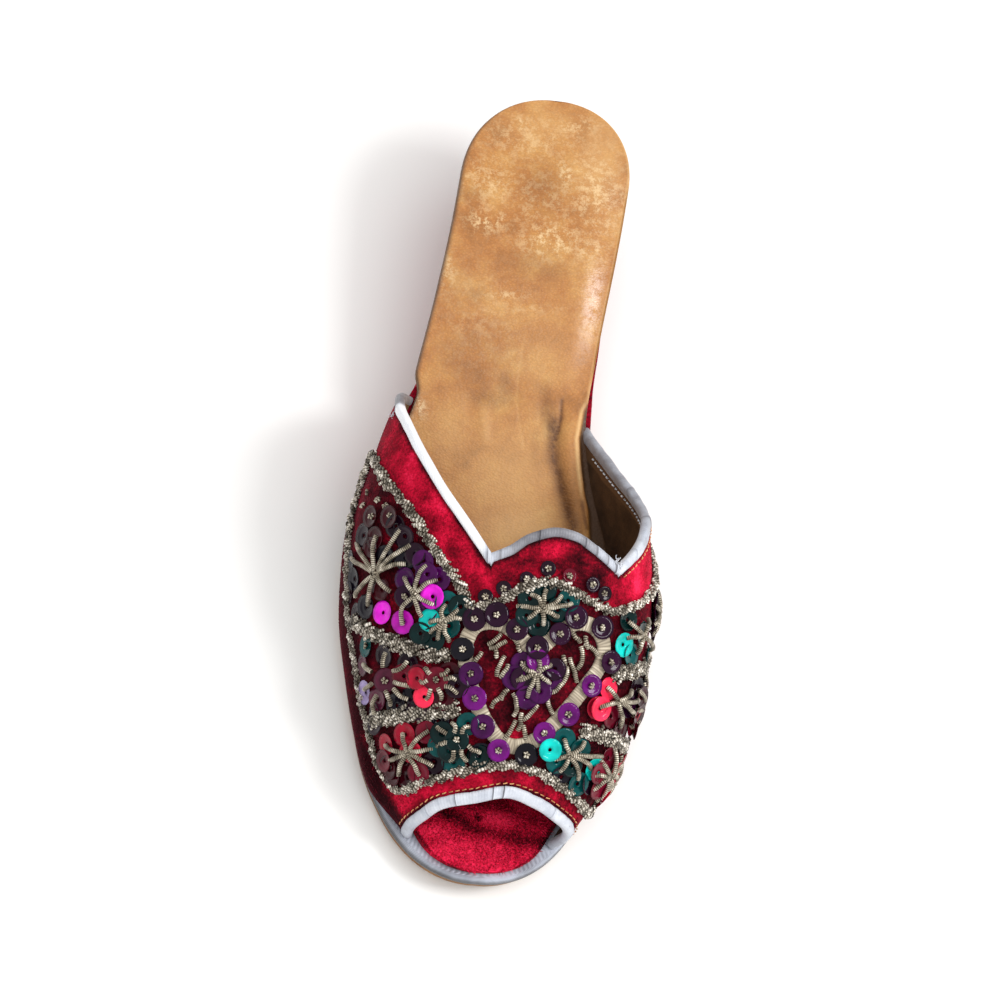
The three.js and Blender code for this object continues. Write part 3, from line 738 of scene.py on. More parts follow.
def silver_twill():
    """Twill tape round the platform: grey-silver with fine ribs that run aslant. The ribs are drawn 0.9 mm
    wide, coarser than the weave, to show."""
    material, tree, shader, spot, uv = new_material(
        "silver_twill_woven", Roughness=0.45, Metallic=0.25, Sheen_Weight=0.2)
    aslant = add(tree, "ShaderNodeMapping", {"Vector": uv, "Rotation": (0, 0, math.radians(52))})
    ribs = add(tree, "ShaderNodeTexWave", {"Vector": aslant, "Scale": ribs_per_mm(0.9), "Distortion": 0.5})
    soil = add(tree, "ShaderNodeTexNoise", {"Vector": spot, "Scale": per_mm(9), "Detail": 5.0})
    worn = add(tree, "ShaderNodeAttribute", attribute_name="worn").outputs["Fac"]
    tone = add(tree, "ShaderNodeMath", {0: ribs.outputs["Fac"], 1: 0.16, 2: soil}, operation="MULTIPLY_ADD")
    # The tape is darkened where it is marked: painted shade below and on the lateral side, painted light at
    # the top
    tone = add(tree, "ShaderNodeMath", {0: tone, 1: worn}, operation="SUBTRACT")
    stops = ((0.1, "#38383E"), (0.35, "#6F7178"), (0.55, "#9599A4"), (0.8, "#BCC1CE"))
    paint(tree, shader, tone, stops, ribs.outputs["Fac"], 0.5, 0.2)
    return material


def plain_leather(name, dark, light, size):
    """Split leather, matt and a little uneven in colour, lighter or darker where it is marked: for a pale
    tape, and for painted light and shade. Its grain is drawn 0.8 mm wide, coarser than its fibres, to show."""
    material, tree, shader, spot, _ = new_material(name, Roughness=0.62, Specular_IOR_Level=0.35)
    broad = add(tree, "ShaderNodeTexNoise", {
        "Vector": spot, "Scale": per_mm(size), "Detail": 6.0, "Roughness": 0.65})
    grain = add(tree, "ShaderNodeTexVoronoi", {"Vector": spot, "Scale": per_mm(0.8)})
    worn = add(tree, "ShaderNodeAttribute", attribute_name="worn").outputs["Fac"]
    tone = add(tree, "ShaderNodeMath", {0: broad, 1: worn}, operation="ADD")
    paint(tree, shader, tone, ((0.3, dark), (0.7, light)), grain, 0.3, 0.15)
    return material


def sewing_thread(name, dark, light):
    """Twisted sewing thread: lighter and darker along its length, in steps of about one stitch because its
    twist is too fine to show."""
    material, tree, shader, spot, _ = new_material(name, Roughness=0.55, Sheen_Weight=0.2)
    twist = add(tree, "ShaderNodeTexNoise", {"Vector": spot, "Scale": per_mm(1.1), "Detail": 2.0})
    paint(tree, shader, twist, ((0.35, dark), (0.65, light)))
    return material


velvet_cloth = crushed_velvet("velvet_ground_woven", False)
velvet_pile = crushed_velvet("velvet_pile_crushed", True)
velvet_stretched = crushed_velvet("velvet_stretched_over_wedge", False, 0.45)
binding_satin = satin_ribbon()
cord_wire = coiled_wire("coil_wire_tarnished", "#3E362C", "#B2A898", "#FFF8EC")
petal_wire = coiled_wire("coil_wire_pale", "#463C30", "#BCB09A", "#FFF8E8")
band_floss = satin_stitch()
sequin_plastic = cup_sequin()
insole_leather = worn_leather()
platform_twill = silver_twill()
# The lining's colours are darkened as painted shade, for the deep shade inside the upper
lining_leather = plain_leather("lining_leather_split", "#34241A", "#664A32", 12)
sole_leather = plain_leather("sole_leather_rolled", "#6B4724", "#A87A48", 16)
gold_thread = sewing_thread("gold_thread_twisted", "#A05A24", "#E8A86C")
grey_thread = sewing_thread("silver_thread_frayed", "#9A9EA8", "#E8EAF0")


# Trees of geometry nodes
def new_tree(name, sizes):
    """A tree with a mesh, named sizes, a seed, a shape and a material as its inputs."""
    tree = bpy.data.node_groups.new(name, "GeometryNodeTree")
    inputs = [("Geometry", "Geometry"), *((size, "Float") for size in sizes)]
    inputs += [("Seed", "Int"), ("Shape", "Object"), ("Material", "Material")]
    for label, kind in inputs:
        tree.interface.new_socket(label, in_out="INPUT", socket_type="NodeSocket" + kind)
    tree.interface.new_socket("Geometry", in_out="OUTPUT", socket_type="NodeSocketGeometry")
    return tree, add(tree, "NodeGroupInput").outputs


def end_tree(tree, given, geometry):
    """Ends a tree with plain geometry in the given material."""
    real = add(tree, "GeometryNodeRealizeInstances", {"Geometry": geometry})
    painted = add(tree, "GeometryNodeSetMaterial", {"Geometry": real, "Material": given["Material"]})
    add(tree, "NodeGroupOutput", {"Geometry": painted})
    return tree


COIL_SIDES = 7


def coil_from(tree, given, curve):
    """A tube along a curve whose turns stand out, with the grooves between them marked. The wire is too fine
    to show, so its turns are drawn about twice as far apart."""
    half_pitch = add(tree, "ShaderNodeMath", {0: given["Pitch"], 1: 0.5}, operation="MULTIPLY")
    turns = add(tree, "GeometryNodeResampleCurve", {"Curve": curve, "Length": half_pitch}, mode="LENGTH")
    odd = add(tree, "ShaderNodeMath", {0: add(tree, "GeometryNodeInputIndex"), 1: 2.0}, operation="MODULO")
    marked = add(tree, "GeometryNodeStoreNamedAttribute", {
        "Geometry": turns, "Name": "groove", "Value": odd}, data_type="FLOAT", domain="POINT")
    cut = add(tree, "ShaderNodeMath", {0: odd, 1: given["Groove"]}, operation="MULTIPLY")
    keep = add(tree, "ShaderNodeMath", {0: 1.0, 1: cut}, operation="SUBTRACT")
    radius = add(tree, "ShaderNodeMath", {0: keep, 1: given["Wire radius"]}, operation="MULTIPLY")
    profile = add(tree, "GeometryNodeCurvePrimitiveCircle", {"Resolution": COIL_SIDES, "Radius": 1.0})
    return add(tree, "GeometryNodeCurveToMesh", {
        "Curve": marked, "Profile Curve": profile, "Scale": radius, "Fill Caps": True})


def coil_along_lines():
    """Coil of wire along every line of a mesh of edges."""
    tree, given = new_tree("coil_along_lines", ("Wire radius", "Pitch", "Groove"))
    curve = add(tree, "GeometryNodeMeshToCurve", {"Mesh": given["Geometry"]})
    return end_tree(tree, given, coil_from(tree, given, curve))


def faced(tree, given, shape):
    """A shape on every point, with its Z along facing and its X along the path, turned aslant and shaken a
    little."""
    facing = add(tree, "GeometryNodeInputNamedAttribute", {"Name": "facing"}, data_type="FLOAT_VECTOR")
    along = add(tree, "GeometryNodeInputNamedAttribute", {"Name": "along"}, data_type="FLOAT_VECTOR")
    size = add(tree, "GeometryNodeInputNamedAttribute", {"Name": "size"}, data_type="FLOAT")
    upright = add(tree, "FunctionNodeAxesToRotation", {
        "Primary Axis": facing, "Secondary Axis": along}, primary_axis="Z", secondary_axis="X")
    minus = add(tree, "ShaderNodeMath", {0: given["Shake"], 1: -1.0}, operation="MULTIPLY")
    shake = add(tree, "FunctionNodeRandomValue", {
        LOWEST: minus, HIGHEST: given["Shake"], "Seed": given["Seed"]}).outputs[DRAWN]
    slant = add(tree, "ShaderNodeMath", {0: shake, 1: given["Slant"]}, operation="ADD")
    turn = add(tree, "ShaderNodeCombineXYZ", {"Y": shake, "Z": slant})
    turned_shape = add(tree, "FunctionNodeRotateRotation", {
        "Rotation": upright, "Rotate By": turn}, rotation_space="LOCAL")
    return add(tree, "GeometryNodeInstanceOnPoints", {
        "Points": given["Geometry"], "Instance": shape, "Rotation": turned_shape, "Scale": size})


def stitches_on_points():
    """Short arched pieces of coil on points along a path, each aslant to it."""
    tree, given = new_tree("stitches_on_points", (
        "Wire radius", "Pitch", "Groove", "Stitch length", "Arch", "Slant", "Shake"))
    half = add(tree, "ShaderNodeMath", {0: given["Stitch length"], 1: 0.5}, operation="MULTIPLY")
    minus = add(tree, "ShaderNodeMath", {0: half, 1: -1.0}, operation="MULTIPLY")
    start = add(tree, "ShaderNodeCombineXYZ", {"X": minus})
    end = add(tree, "ShaderNodeCombineXYZ", {"X": half})
    middle = add(tree, "ShaderNodeCombineXYZ", {"Z": given["Arch"]})
    arch = add(tree, "GeometryNodeCurveQuadraticBezier", {
        "Resolution": 6, "Start": start, "Middle": middle, "End": end})
    return end_tree(tree, given, faced(tree, given, coil_from(tree, given, arch)))


def shapes_on_points():
    """One given shape on every point, tinted by the point's colour."""
    tree, given = new_tree("shapes_on_points", ("Slant", "Shake"))
    shape = add(tree, "GeometryNodeObjectInfo", {"Object": given["Shape"]})
    return end_tree(tree, given, faced(tree, given, shape.outputs["Geometry"]))


def pile_on_cloth():
    """Short fibres all over a cloth, leaning the way that its pile lies, each of its own size and tone. There
    are far fewer and thicker ones than in real velvet."""
    tree, given = new_tree("pile_on_cloth", ("Density", "Pile length", "Fibre radius", "Lean", "Shake"))
    seed = given["Seed"]
    spread = add(tree, "GeometryNodeDistributePointsOnFaces", {
        "Mesh": given["Geometry"], "Density": given["Density"], "Seed": seed})
    lie = add(tree, "GeometryNodeInputNamedAttribute", {"Name": "lie"}, data_type="FLOAT_VECTOR")
    over = add(tree, "ShaderNodeVectorMath", {0: lie, "Scale": given["Lean"]}, operation="SCALE")
    shake = add(tree, "FunctionNodeRandomValue", {
        0: (-1.0, -1.0, -1.0), 1: (1.0, 1.0, 1.0), "Seed": seed}, data_type="FLOAT_VECTOR")
    shaken = add(tree, "ShaderNodeVectorMath", {0: shake, "Scale": given["Shake"]}, operation="SCALE")
    aim = add(tree, "ShaderNodeVectorMath", {0: spread.outputs["Normal"], 1: over}, operation="ADD")
    aim = add(tree, "ShaderNodeVectorMath", {0: aim, 1: shaken}, operation="ADD")
    upright = add(tree, "FunctionNodeAlignRotationToVector", {"Vector": aim}, axis="Z")
    fibre = add(tree, "GeometryNodeMeshCone", {
        "Vertices": 3, "Radius Top": 0.0, "Radius Bottom": given["Fibre radius"],
        "Depth": given["Pile length"]}, fill_type="NGON")
    height = add(tree, "ShaderNodeSeparateXYZ", {0: add(tree, "GeometryNodeInputPosition")})
    top = add(tree, "FunctionNodeCompare", {0: height.outputs["Z"], 1: 0.1 * MM}, operation="GREATER_THAN")
    tipped = add(tree, "GeometryNodeStoreNamedAttribute", {
        "Geometry": fibre, "Name": "tip", "Value": top}, data_type="FLOAT", domain="POINT")
    size = add(tree, "FunctionNodeRandomValue", {LOWEST: 0.7, HIGHEST: 1.3, "Seed": seed})
    fibres = add(tree, "GeometryNodeInstanceOnPoints", {
        "Points": spread, "Instance": tipped, "Rotation": upright, "Scale": size.outputs[DRAWN]})
    bright = add(tree, "FunctionNodeRandomValue", {LOWEST: -0.3, HIGHEST: 0.34, "Seed": seed})
    varied = add(tree, "GeometryNodeStoreNamedAttribute", {
        "Geometry": fibres, "Name": "bright", "Value": bright.outputs[DRAWN]},
        data_type="FLOAT", domain="INSTANCE")
    return end_tree(tree, given, varied)


COIL_TREE = coil_along_lines()
STITCH_TREE = stitches_on_points()
SHAPE_TREE = shapes_on_points()
PILE_TREE = pile_on_cloth()
TREE_SEED = 3


def grow(name, source, tree, material, **sizes):
    """The plain mesh that a tree makes of a source object."""
    modifier = source.modifiers.new("grow", "NODES")
    modifier.node_group = tree
    identifiers = {item.name: item.identifier for item in tree.interface.items_tree if item.in_out == "INPUT"}
    for size, value in {"Material": material, "Seed": TREE_SEED, **sizes}.items():
        modifier[identifiers[size.replace("_", " ")]] = value
    graph = bpy.context.evaluated_depsgraph_get()
    mesh = bpy.data.meshes.new_from_object(
        source.evaluated_get(graph), preserve_all_data_layers=True, depsgraph=graph)
    mesh.name = name
    mesh.materials.clear()
    mesh.materials.append(material)
    mesh.polygons.foreach_set("material_index", np.zeros(len(mesh.polygons), int))
    mesh.shade_smooth()
    bpy.data.objects.remove(source)
    return shown(name, mesh)


def lines_mesh(paths):
    """A mesh of edges through each path of points."""
    starts = np.cumsum([0, *(len(path) for path in paths)])
    edges = [(i, i + 1) for begin, path in zip(starts, paths) for i in range(begin, begin + len(path) - 1)]
    return shown("lines", plain_mesh("lines", np.concatenate(paths), edges))


def points_mesh(points, facing, along, **values):
    """A mesh of loose points, each with the directions and values of what stands on it."""
    mesh = plain_mesh("points", points)
    put_values(mesh, {"facing": facing, "along": along, "size": np.ones(len(points)), **values})
    return shown("points", mesh)


def pile_face(name, rings, columns, **values):
    """Some columns of a piece's rings as a cloth, for the pile to grow on."""
    part = rings[:, columns]
    mesh = plain_mesh(name, part.reshape(-1, 3), faces=quads(*part.shape[:2], False))
    kept = np.arange(rings.shape[0] * rings.shape[1]).reshape(rings.shape[:2])[:, columns].ravel()
    put_values(mesh, {key: np.asarray(value)[kept] for key, value in values.items()})
    return shown(name, mesh)


# Paths and places on the upper
CURVE_STEPS = 24


def smooth_path(rows, pitch, closed):
    """Evenly spaced rows of across and station on a smooth line through given rows."""
    rows = np.array(rows, float) * (UPPER_SPAN, 1)
    if closed:
        rows = np.concatenate((rows[-1:], rows, rows[:2]))
    else:
        rows = np.concatenate((2 * rows[:1] - rows[1:2], rows, 2 * rows[-1:] - rows[-2:-1]))
    knots = np.cumsum(np.concatenate(([0], np.linalg.norm(np.diff(rows, axis=0), axis=1) ** 0.5)))
    pieces = []
    for i in range(1, len(rows) - 2):
        t = np.linspace(knots[i], knots[i + 1], CURVE_STEPS, endpoint=False)[:, None]
        k0, k1, k2, k3 = knots[i - 1:i + 3]
        p0, p1, p2, p3 = rows[i - 1:i + 3]
        a1 = ((k1 - t) * p0 + (t - k0) * p1) / (k1 - k0)
        a2 = ((k2 - t) * p1 + (t - k1) * p2) / (k2 - k1)
        a3 = ((k3 - t) * p2 + (t - k2) * p3) / (k3 - k2)
        b1 = ((k2 - t) * a1 + (t - k0) * a2) / (k2 - k0)
        b2 = ((k3 - t) * a2 + (t - k1) * a3) / (k3 - k1)
        pieces.append(((k2 - t) * b1 + (t - k1) * b2) / (k2 - k1))
    line = np.concatenate((*pieces, rows[-2:-1])) / (UPPER_SPAN, 1)
    lengths = np.linalg.norm(np.diff(upper_point(line[:, 0], line[:, 1]), axis=0), axis=1)
    reach = np.concatenate(([0], np.cumsum(lengths)))
    count = max(int(round(reach[-1] / pitch)), 2)
    at = np.linspace(0, reach[-1], count + 1)[:count if closed else count + 1]
    return np.stack([np.interp(at, reach, line[:, i]) for i in range(2)], -1)


def path_frame(path, closed):
    """Places, outward directions and directions along a path on the upper."""
    points = upper_point(path[:, 0], path[:, 1])
    if closed:
        along = np.roll(points, -1, 0) - np.roll(points, 1, 0)
    else:
        along = np.gradient(points, axis=0)
    return points, upper_normal(path[:, 0], path[:, 1]), unit(along)


def nap_and_light_at(points, base):
    """How light the pile is painted at points of the velvet, from its lie and from painted light and shade: 0
    is deep in shade, 1 lies over to the light.
    """
    pixels = photo_of(points)
    nap_and_shading = np.full(len(points), base)
    for x, y, reach_x, reach_y, change in NAP_AND_LIGHT_PATCHES:
        nap_and_shading += change * np.exp(-((pixels[:, 0] - x) / reach_x) ** 2 - ((pixels[:, 1] - y) / reach_y) ** 2)
    return nap_and_shading


def inside(outline, across, station):
    """Whether places on the upper lie within a closed outline of across and station."""
    within = np.zeros(np.shape(across), bool)
    for (a0, s0), (a1, s1) in zip(outline, np.roll(outline, -1, 0)):
        beside = a0 + (station - s0) * (a1 - a0) / (s1 - s0 if s1 != s0 else 1e-9)
        within ^= ((s0 > station) != (s1 > station)) & (across < beside)
    return within


def across_columns(per_part):
    """Places across the upper, with a column on each notch of the throat."""
    parts = ((-1, LATERAL_NOTCH), (LATERAL_NOTCH, MEDIAL_NOTCH), (MEDIAL_NOTCH, 1))
    columns = [np.linspace(low, high, per_part, endpoint=False) for low, high in parts]
    return np.concatenate((*columns, [1]))


# The upper: a velvet layer, lined with split leather; both end under the ribbons
UPPER_ROWS = 110
VELVET_COLUMNS = 80
LINING_COLUMNS = 40
UNDER_RIBBON = 0.6
LAYER_SPLIT = -1.0
LAYER_GAP = 0.05
# The velvet lies just within the solid's face, and flares at the foot to cover the edge of the platform
GROUND_LIFT = -0.2
FLARE = {"past_platform": 0.7, "across": (0.82, 0.985), "begin": (14, 30), "end": (112, 132)}
# Painted shade on the velvet: low on the lateral side, and a painted shadow in a narrow line beside the
# ribbons
SIDE_SHADE = {"strength": 0.55, "across": (0.8, 0.93), "end": (95, 145)}
RIBBON_SHADE = {"strength": 0.4, "reach": 0.8}
UPPER_NAP = 0.5
# The way that the pile lies, and the waves in which it swerves from that over the upper
PILE_LIE = (0.1, -1.0, -0.3)
PILE_SWERVE = 0.5
SWERVE_WAVES = ((0.21, 0.13, 0.05), (0.17, -0.11, 0.09), (0.08, 0.19, -0.14))
UPPER_PILE = {
    "Density": 3.6 / MM ** 2, "Pile_length": 1.5 * MM, "Fibre_radius": 0.16 * MM, "Lean": 0.9, "Shake": 0.45}
# A tape runs along the throat on the inner face, and looks lighter than the leather below it
TAPE_WIDTH = 7.0
TAPE_TONE = 0.3
# Below the tape the lining is painted darker, and towards the back lighter: painted shade deep inside,
# painted light where the upper opens
LINING_TONE = -0.12
BACK_LIGHT = {"strength": 0.15, "station": (95, 120)}


def upper_layer(columns, outer_lift, inner_lift):
    """Rings over a layer of the upper, with the across and the station of every point."""
    across = across_columns(columns)
    front = toe_edge(across) + depth_from_edge(toe_edge, across, TOE_BINDING["width"] * UNDER_RIBBON)
    back = throat_edge(across) - depth_from_edge(throat_edge, across, THROAT_BINDING["width"] * UNDER_RIBBON)
    share = np.linspace(0, 1, UPPER_ROWS)
    station = front[:, None] + (back - front)[:, None] * share
    wide = np.broadcast_to(across[:, None], station.shape)
    outer = on_upper(wide, station, outer_lift(wide, station))
    inner = on_upper(wide, station, inner_lift)
    across_of = np.concatenate((wide, wide[:, ::-1]), 1)
    station_of = np.concatenate((station, station[:, ::-1]), 1)
    return np.concatenate((outer, inner[:, ::-1]), 1), across_of, station_of


def velvet_lift(across, station):
    """How far the velvet's ground stands out from the upper's face."""
    flare = (upper_inset(station) + FLARE["past_platform"]) * smoothstep(np.abs(across), *FLARE["across"])
    flare *= smoothstep(station, *FLARE["begin"]) * (1 - smoothstep(station, *FLARE["end"]))
    return GROUND_LIFT + flare


def beside_ribbon(edge, sense, width):
    """Narrow shade on the velvet along a ribbon's inner edge."""
    depth = depth_from_edge(edge, ring_across[:, 0], width=1)[:, None]
    away = sense * (ring_station - edge(ring_across[:, :1])) / depth - width
    return RIBBON_SHADE["strength"] * np.exp(-(np.maximum(away, 0) / RIBBON_SHADE["reach"]) ** 2).ravel()


upper_rings, ring_across, ring_station = upper_layer(VELVET_COLUMNS, velvet_lift, LAYER_SPLIT)
upper_points, upper_faces = loft(upper_rings)
in_field = inside(smooth_path(BORDER, pitch=3.0, closed=True), ring_across.ravel(), ring_station.ravel())
shade_side = SIDE_SHADE["strength"] * smoothstep(-ring_across.ravel(), *SIDE_SHADE["across"])
shade_side *= 1 - smoothstep(ring_station.ravel(), *SIDE_SHADE["end"])
shade_edge = beside_ribbon(throat_edge, -1, THROAT_BINDING["width"])
shade_edge += beside_ribbon(toe_edge, 1, TOE_BINDING["width"])
upper_values = {
    "nap_and_shading": nap_and_light_at(upper_points, UPPER_NAP) - shade_side - shade_edge + FIELD_DARKENING * in_field,
    "lie": unit(np.array(PILE_LIE) + PILE_SWERVE * np.sin(upper_points @ np.array(SWERVE_WAVES))),
}
dress(make_piece("upper_velvet", upper_points, upper_faces, velvet_cloth, **upper_values), "velvet", "upper")

lining_rings, lining_across, lining_station = upper_layer(
    LINING_COLUMNS, lambda across, station: LAYER_SPLIT - LAYER_GAP, -WALL)
tape_depth = depth_from_edge(throat_edge, lining_across[:, 0], TAPE_WIDTH)[:, None]
in_tape = lining_station > throat_edge(lining_across) - tape_depth
lining_worn = np.where(in_tape, TAPE_TONE, LINING_TONE)
lining_worn = lining_worn + BACK_LIGHT["strength"] * smoothstep(lining_station, *BACK_LIGHT["station"])
lining = make_piece("upper_lining", *loft(lining_rings), lining_leather, worn=lining_worn.ravel())
dress(lining, "sock_leather")

upper_face = pile_face("upper_face", upper_rings, slice(UPPER_ROWS), **upper_values)
dress(grow("upper_pile", upper_face, PILE_TREE, velvet_pile, **UPPER_PILE), "velvet")

# Satin ribbon rolled over the free edges, in a section with rounded corners and an uneven outer face
RIBBON_COLUMNS = 90
RIBBON_SIDES = 20
RIBBON_SIDE_LENGTH = 0.5
CORNER_POWER = 0.7
RUMPLE = {"height": 0.12, "waves": (61, 23), "fine_height": 0.02, "fine_waves": 140}
# Folds where a ribbon laps, as across and height
THROAT_FOLDS = (
    (LATERAL_NOTCH - 0.01, 0.35), (MEDIAL_NOTCH - 0.02, 0.5), (-0.68, 0.35), (-0.17, 0.2), (-0.06, 0.2),
    (0.1, 0.25), (0.15, 0.3), (0.2, 0.3), (0.36, 0.2), (0.55, 0.22), (0.72, 0.2),
)
TOE_FOLDS = ((-0.32, 0.5), (-0.09, 0.45), (-0.03, 0.5), (-0.55, 0.2), (0.3, 0.2))
# Millimetres over which a fold falls away to either side and its shade fades, and columns beside it
FOLD = {"slope": 2.2, "lip": 0.12, "shade": 0.5, "columns": (-0.6, -0.3, -0.08, 0.08, 0.4, 0.9)}
# The throat's ribbon is wider on the medial quarter
QUARTER_WIDER = 0.8
QUARTER_START = (MEDIAL_NOTCH + 0.04, 0.5)
# Painted light and shade along the ribbons, from 0 for grey in shade to 1 for white in the light
THROAT_LIGHT = {
    "across": (
        -1, -0.7, -0.66, -0.24, LATERAL_NOTCH, -0.1, 0.1, MEDIAL_NOTCH - 0.03, MEDIAL_NOTCH + 0.05, 0.6, 1),
    "value": (0.05, 0.1, 0.8, 0.8, 0.45, 0.12, 0.24, 0.5, 0.55, 0.28, 0.25),
}
TOE_LIGHT = {"across": (-1, -0.6, 0, 0.4, 1), "value": (0.35, 0.5, 0.5, 0.55, 0.3)}


def squared(wave):
    """A wave with fuller tops, which turns a round section into one with rounded corners."""
    return np.sign(wave) * np.abs(wave) ** CORNER_POWER


def rolled_binding(edge, size, sense, folds, clean, wider):
    """Skin, UV and painted light and shade of a ribbon round a free edge, with folds where it laps."""
    beside_folds = [at + step / UPPER_SPAN for at, _ in folds for step in FOLD["columns"]]
    across = np.unique(np.concatenate((across_columns(RIBBON_COLUMNS), beside_folds)))
    width = size["width"] + wider * smoothstep(across, *QUARTER_START)
    depth = sense * depth_from_edge(edge, across, width)
    turn = np.linspace(0, 2 * math.pi, RIBBON_SIDES, endpoint=False) + math.pi / RIBBON_SIDES
    inward = 0.5 - 0.5 * squared(np.cos(turn))
    offset = -WALL / 2 + (WALL / 2 + size["proud"]) * squared(np.sin(turn))
    long_wave, short_wave = RUMPLE["waves"]
    rumple = RUMPLE["height"] * np.sin(across * long_wave) * np.sin(across * short_wave + 1)
    rumple += RUMPLE["fine_height"] * np.sin(across * RUMPLE["fine_waves"])
    in_fold = np.zeros(len(across))
    for at, height in folds:
        past = (across - at) * UPPER_SPAN
        away = np.abs(past)
        rumple += height * np.where(past > 0, np.exp(-away / FOLD["slope"]), np.exp(-away / FOLD["lip"]))
        in_fold += height * np.where(past > 0, 0, np.exp(-away / FOLD["shade"]))
    swell = (offset[None] > -WALL / 2) * rumple[:, None]
    station = edge(across)[:, None] + depth[:, None] * inward
    rings = on_upper(np.broadcast_to(across[:, None], station.shape), station, offset[None] + swell)
    along = np.cumsum(np.concatenate(([0], np.linalg.norm(np.diff(rings[:, 0], axis=0), axis=1))))
    uv = np.stack(np.broadcast_arrays(along[:, None], np.arange(RIBBON_SIDES) * RIBBON_SIDE_LENGTH), -1)
    whiteness = np.interp(across, clean["across"], clean["value"]) - in_fold
    return *loft(rings), uv.reshape(-1, 2) * MM, np.repeat(whiteness, RIBBON_SIDES)


for name, node, *ribbon in (
        ("throat_ribbon", "throat_binding", throat_edge, THROAT_BINDING, -1, THROAT_FOLDS, THROAT_LIGHT,
         QUARTER_WIDER),
        ("toe_ribbon", "toe_binding", toe_edge, TOE_BINDING, 1, TOE_FOLDS, TOE_LIGHT, 0.0)):
    points, faces, uv, whiteness = rolled_binding(*ribbon)
    dress(make_piece(name, points, faces, binding_satin, uv=uv, clean=whiteness), "satin_binding", node)

# Couched coil cord round the field and between the cells: rows of pieces, as offset to the side and lift
BORDER_ROWS = ((-0.6, 0.15), (0.6, 0.15), (0.0, 0.75))
BAR_ROWS = ((-1.5, 0.15), (-0.5, 0.5), (0.5, 0.5), (1.5, 0.15))
BORDER_PIECE = 2.2
BAR_PIECE = 2.1
PIECE_SPACING = 0.95
PIECE_WOBBLE = 0.24
PIECE_SIZES = (0.72, 1.22)
PIECE_TONES = 0.13
CORD_COIL = {
    "Wire_radius": 0.46 * MM, "Pitch": 0.66 * MM, "Groove": 0.22, "Arch": 1.1 * MM, "Slant": math.radians(32),
    "Shake": 0.45}


def couched_rows(name, node, path, closed, rows, length):
    """Short pieces of coil laid aslant in rows along a path, some bright and some tarnished."""
    points, facing, along = path_frame(smooth_path(path, PIECE_SPACING, closed), closed)
    sideways = unit(np.cross(facing, along))
    layers = []
    for offset, lift in rows:
        wobble = rng.normal(0, PIECE_WOBBLE, (len(points), 1))
        layers.append(points + sideways * (offset + wobble) + facing * (lift + np.abs(wobble)))
    count = len(rows) * len(points)
    source = points_mesh(
        np.concatenate(layers), np.tile(facing, (len(rows), 1)), np.tile(along, (len(rows), 1)),
        size=rng.uniform(*PIECE_SIZES, count), bright=rng.normal(0, PIECE_TONES, count))
    piece = grow(name, source, STITCH_TREE, cord_wire, Stitch_length=length * MM, **CORD_COIL)
    dress(piece, "metal_cord", node)


couched_rows("border_coil", "border_cord", BORDER, True, BORDER_ROWS, BORDER_PIECE)
for bar, path in WING_BARS.items():
    couched_rows(bar + "_coil", bar, path, False, BAR_ROWS, BAR_PIECE)

# The heart's band of satin stitch: shares of its width and height round its top, then its sunk base
BAND_TOP = {
    "side": (-0.5, -0.49, -0.4, -0.2, 0, 0.2, 0.4, 0.49, 0.5),
    "height": (0.1, 0.45, 0.8, 0.97, 1, 0.97, 0.8, 0.45, 0.1),
}
BAND_BASE = {"side": (0.48, -0.48), "depth": 0.4}
THREAD_PITCH = 0.35
THREAD_RELIEF = 0.08
THREAD_UNEVEN = 0.03
BAND_RAGGED = 0.02


def stitched_band(rows, size):
    """Skin and UV of a crowned band along a closed path, one ring for each thread."""
    path = smooth_path(rows, THREAD_PITCH, True)
    count = len(path)
    points, facing, along = (vectors[:, None] for vectors in path_frame(path, True))
    sideways = unit(np.cross(facing, along))
    side = np.array(BAND_TOP["side"])[None, :, None] * size["width"]
    crown = np.array(BAND_TOP["height"])[None, :, None] * size["height"]
    thread = 1 + THREAD_RELIEF * np.where(np.arange(count) % 2, 1, -1) + rng.normal(0, THREAD_UNEVEN, count)
    ragged = 1 + rng.normal(0, BAND_RAGGED, count)
    top = points + sideways * side * ragged[:, None, None] + facing * crown * thread[:, None, None]
    base = points + sideways * np.array(BAND_BASE["side"])[None, :, None] * size["width"]
    rings = np.concatenate((top, base - facing * BAND_BASE["depth"]), 1)
    uv = np.stack(np.broadcast_arrays(
        (np.arange(count) * THREAD_PITCH)[:, None], np.linspace(0, size["width"], rings.shape[1])), -1)
    return *loft(rings, closed=True), uv.reshape(-1, 2) * MM


points, faces, uv = stitched_band(MEDALLION, BAND)
dress(make_piece("heart_band", points, faces, band_floss, uv=uv, sharp=180), "metal_cord", "medallion_band")

# Cup sequins: the section from the hole over the top and back below, and how they lie over each other
SEQUIN_CUP = {
    "radius": (0.55, 1.4, 2.5, 3.4, 3.35, 2.4, 1.4, 0.6),
    "height": (0.16, 0.14, 0.3, 0.72, 0.6, 0.16, 0.0, 0.02),
}
SEQUIN_SIDES = 16
SEQUIN_LIFT = 0.25
SEQUIN_STEP = 0.4
SEQUIN_NEAR = 5.4
MOST_BELOW = 4
SEQUIN_TILT = 0.08
SEQUIN_TONES = (0.8, 1.2)
SEQUIN_SIZES = (0.94, 1.06)
# Rings of sequins and petals on the side that the photo hides
HIDDEN_SEQUINS = 6
HIDDEN_RING = 5.2
HIDDEN_PETALS = 8
HIDDEN_PETAL = 7.0
HIDDEN_PETAL_SIZES = (0.85, 1.15)
hidden_rng = np.random.default_rng(11)


